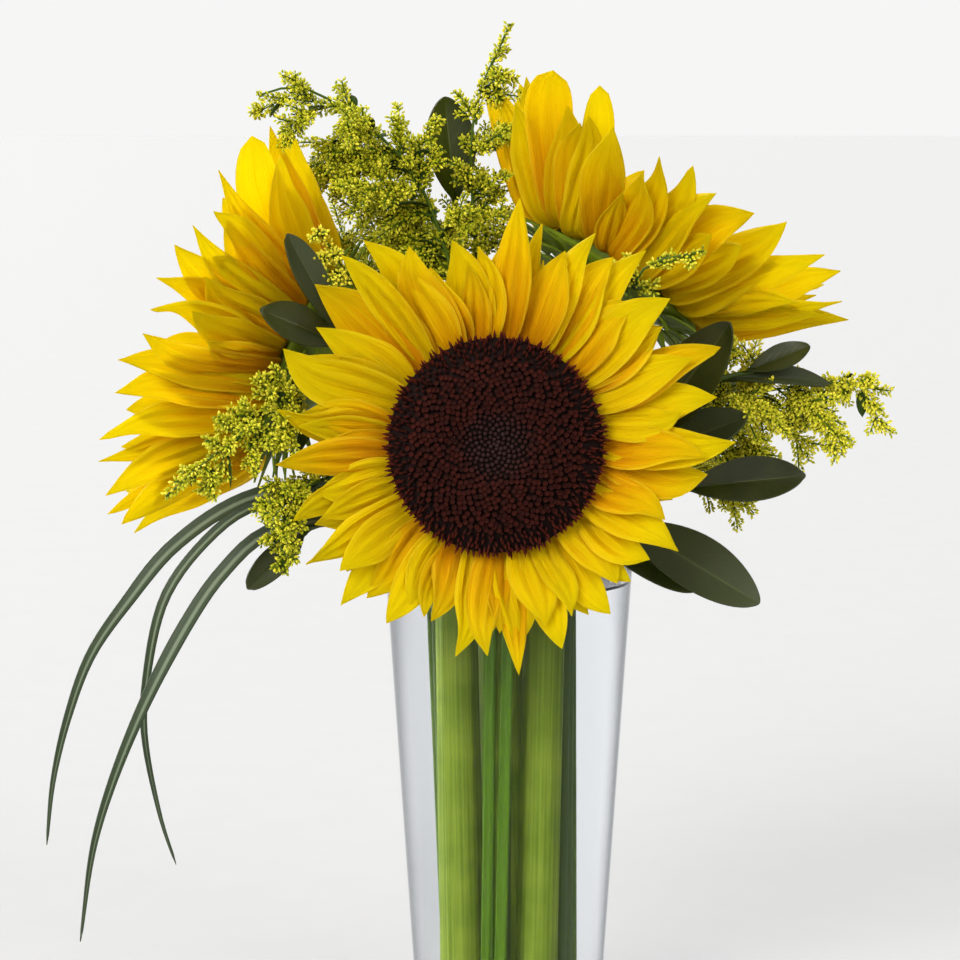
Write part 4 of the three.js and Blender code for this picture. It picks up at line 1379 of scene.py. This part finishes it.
def spray(name, mouth, way, start, branches, reach, droop, seed, wide, ripe, extra, tips):
    """A whole spray: the stem, the branches that the solid has, and finer ones on them."""
    draw = draws(seed)
    chance = random.Random(seed)
    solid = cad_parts[name].data
    corners = [v.co / MM for v in solid.vertices]
    surface = BVHTree.FromPolygons(corners, [list(p.vertices) for p in solid.polygons])
    foot, free = route_of(mouth, way)
    coarse = spaced(free, COARSE_STEPS)
    whole = new_whole()
    stem = spaced([foot, *free], STEM_STEPS)
    gather(whole, tube(stem, SPRAY_STEM, 0.4, 8, (2, 0.4, 0)))
    top = spaced(coarse, WAY_STEPS)
    plume(whole, top[round(WAY_STEPS * mixed(start, 1, 0.6)):], wide * 0.9, ripe, chance)
    upper = top[round(WAY_STEPS * 0.6 * start):]
    lines = [reaching(upper, (x, y), depth) for x, y, depth in tips]
    for i in range(extra):
        at, along = on_line(coarse, mixed(start * 0.8, 0.9, (i + chance.random()) / extra))
        out = outward_of(along, i * GOLDEN_ANGLE + 1)
        length = reach * chance.uniform(0.5, 0.85) * (1.1 - 0.6 * i / extra)
        lines.append(branch_line(at, along, out, length, 1.3 * droop))
    for i in range(STEM_LEAVES):
        at, along = on_line(top, mixed(0.5 * start, 0.72, i / STEM_LEAVES))
        way = (outward_of(along, i * GOLDEN_ANGLE) + along * 0.8).normalized()
        stem_leaf(whole, at, way, reach * chance.uniform(0.35, 0.6), chance)
    for i in range(branches - 1):
        share = i / (branches - 1)
        at, along = on_line(coarse, mixed(start, 0.985, share))
        length = reach * (1 - 0.62 * share**1.6) * (0.8 + 0.4 * next(draw))
        turn = i * GOLDEN_ANGLE + 0.5 * next(draw)
        line = seated(surface, at, along, turn, length, droop)
        if line is not None:
            lines.append(line)
    for line in lines:
        even = spaced(line, 20)[:KEPT_POINTS]
        length = (even[-1] - even[0]).length
        plume(whole, even, wide, ripe, chance)
        leaf_foot, heading = on_line(even, chance.uniform(0.02, 0.3))
        way = (outward_of(heading, chance.uniform(0, 6.28)) + heading * 1.5).normalized()
        stem_leaf(whole, leaf_foot, way, min(0.45 * length, chance.uniform(7, 13)), chance)
        for k in range(max(3, round(length / TWIG_SPACING))):
            share = chance.uniform(0.12, 0.9)
            side_foot, heading = on_line(even, share)
            out = outward_of(heading, chance.uniform(0, 6.28))
            side_length = min(15, 0.42 * length) * chance.uniform(0.5, 1.1) * (1.25 - 0.65 * share)
            side = branch_line(side_foot, heading, out, side_length, 0.1)
            plume(whole, side, wide * 0.85, ripe, chance)
    return whole


def rod_finish():
    """Tiny heads in green, lime and yellow, each brighter at its top."""
    finish = new_finish("goldenrod_heads")
    place, height, tone = finish.split(finish.grain())
    specks = finish.cloud(finish.place(), 700, 3)
    ripe = height * 0.6 + tone * 0.75 + specks * 0.3 - 0.35
    green = finish.fade(ripe, 0.0, 0.5, ROD_GREEN, ROD_LIME)
    heads = finish.fade(ripe, 0.45, 0.95, green, ROD_YELLOW)
    plain = finish.blend(height, ROD_STEM, ROD_LEAF)
    return finish.done(finish.skin(finish.fade(place, *PLAIN_MARK, heads, plain), 0.6, 0.2, {
        "Subsurface Weight": 0.1,
        "Subsurface Radius": (0.8, 1, 0.2),
        "Subsurface Scale": 0.001,
        "Normal": finish.bump(0.6, 0.0003, specks),
    }))


floret = flower_head()
rod_heads = rod_finish()
for name, facts in SPRAYS.items():
    make_piece(f"{name}_plumes", spray(name, *facts), rod_heads, "goldenrod", name)

for copied in (bud, star, point, floret):
    bpy.data.meshes.remove(copied)
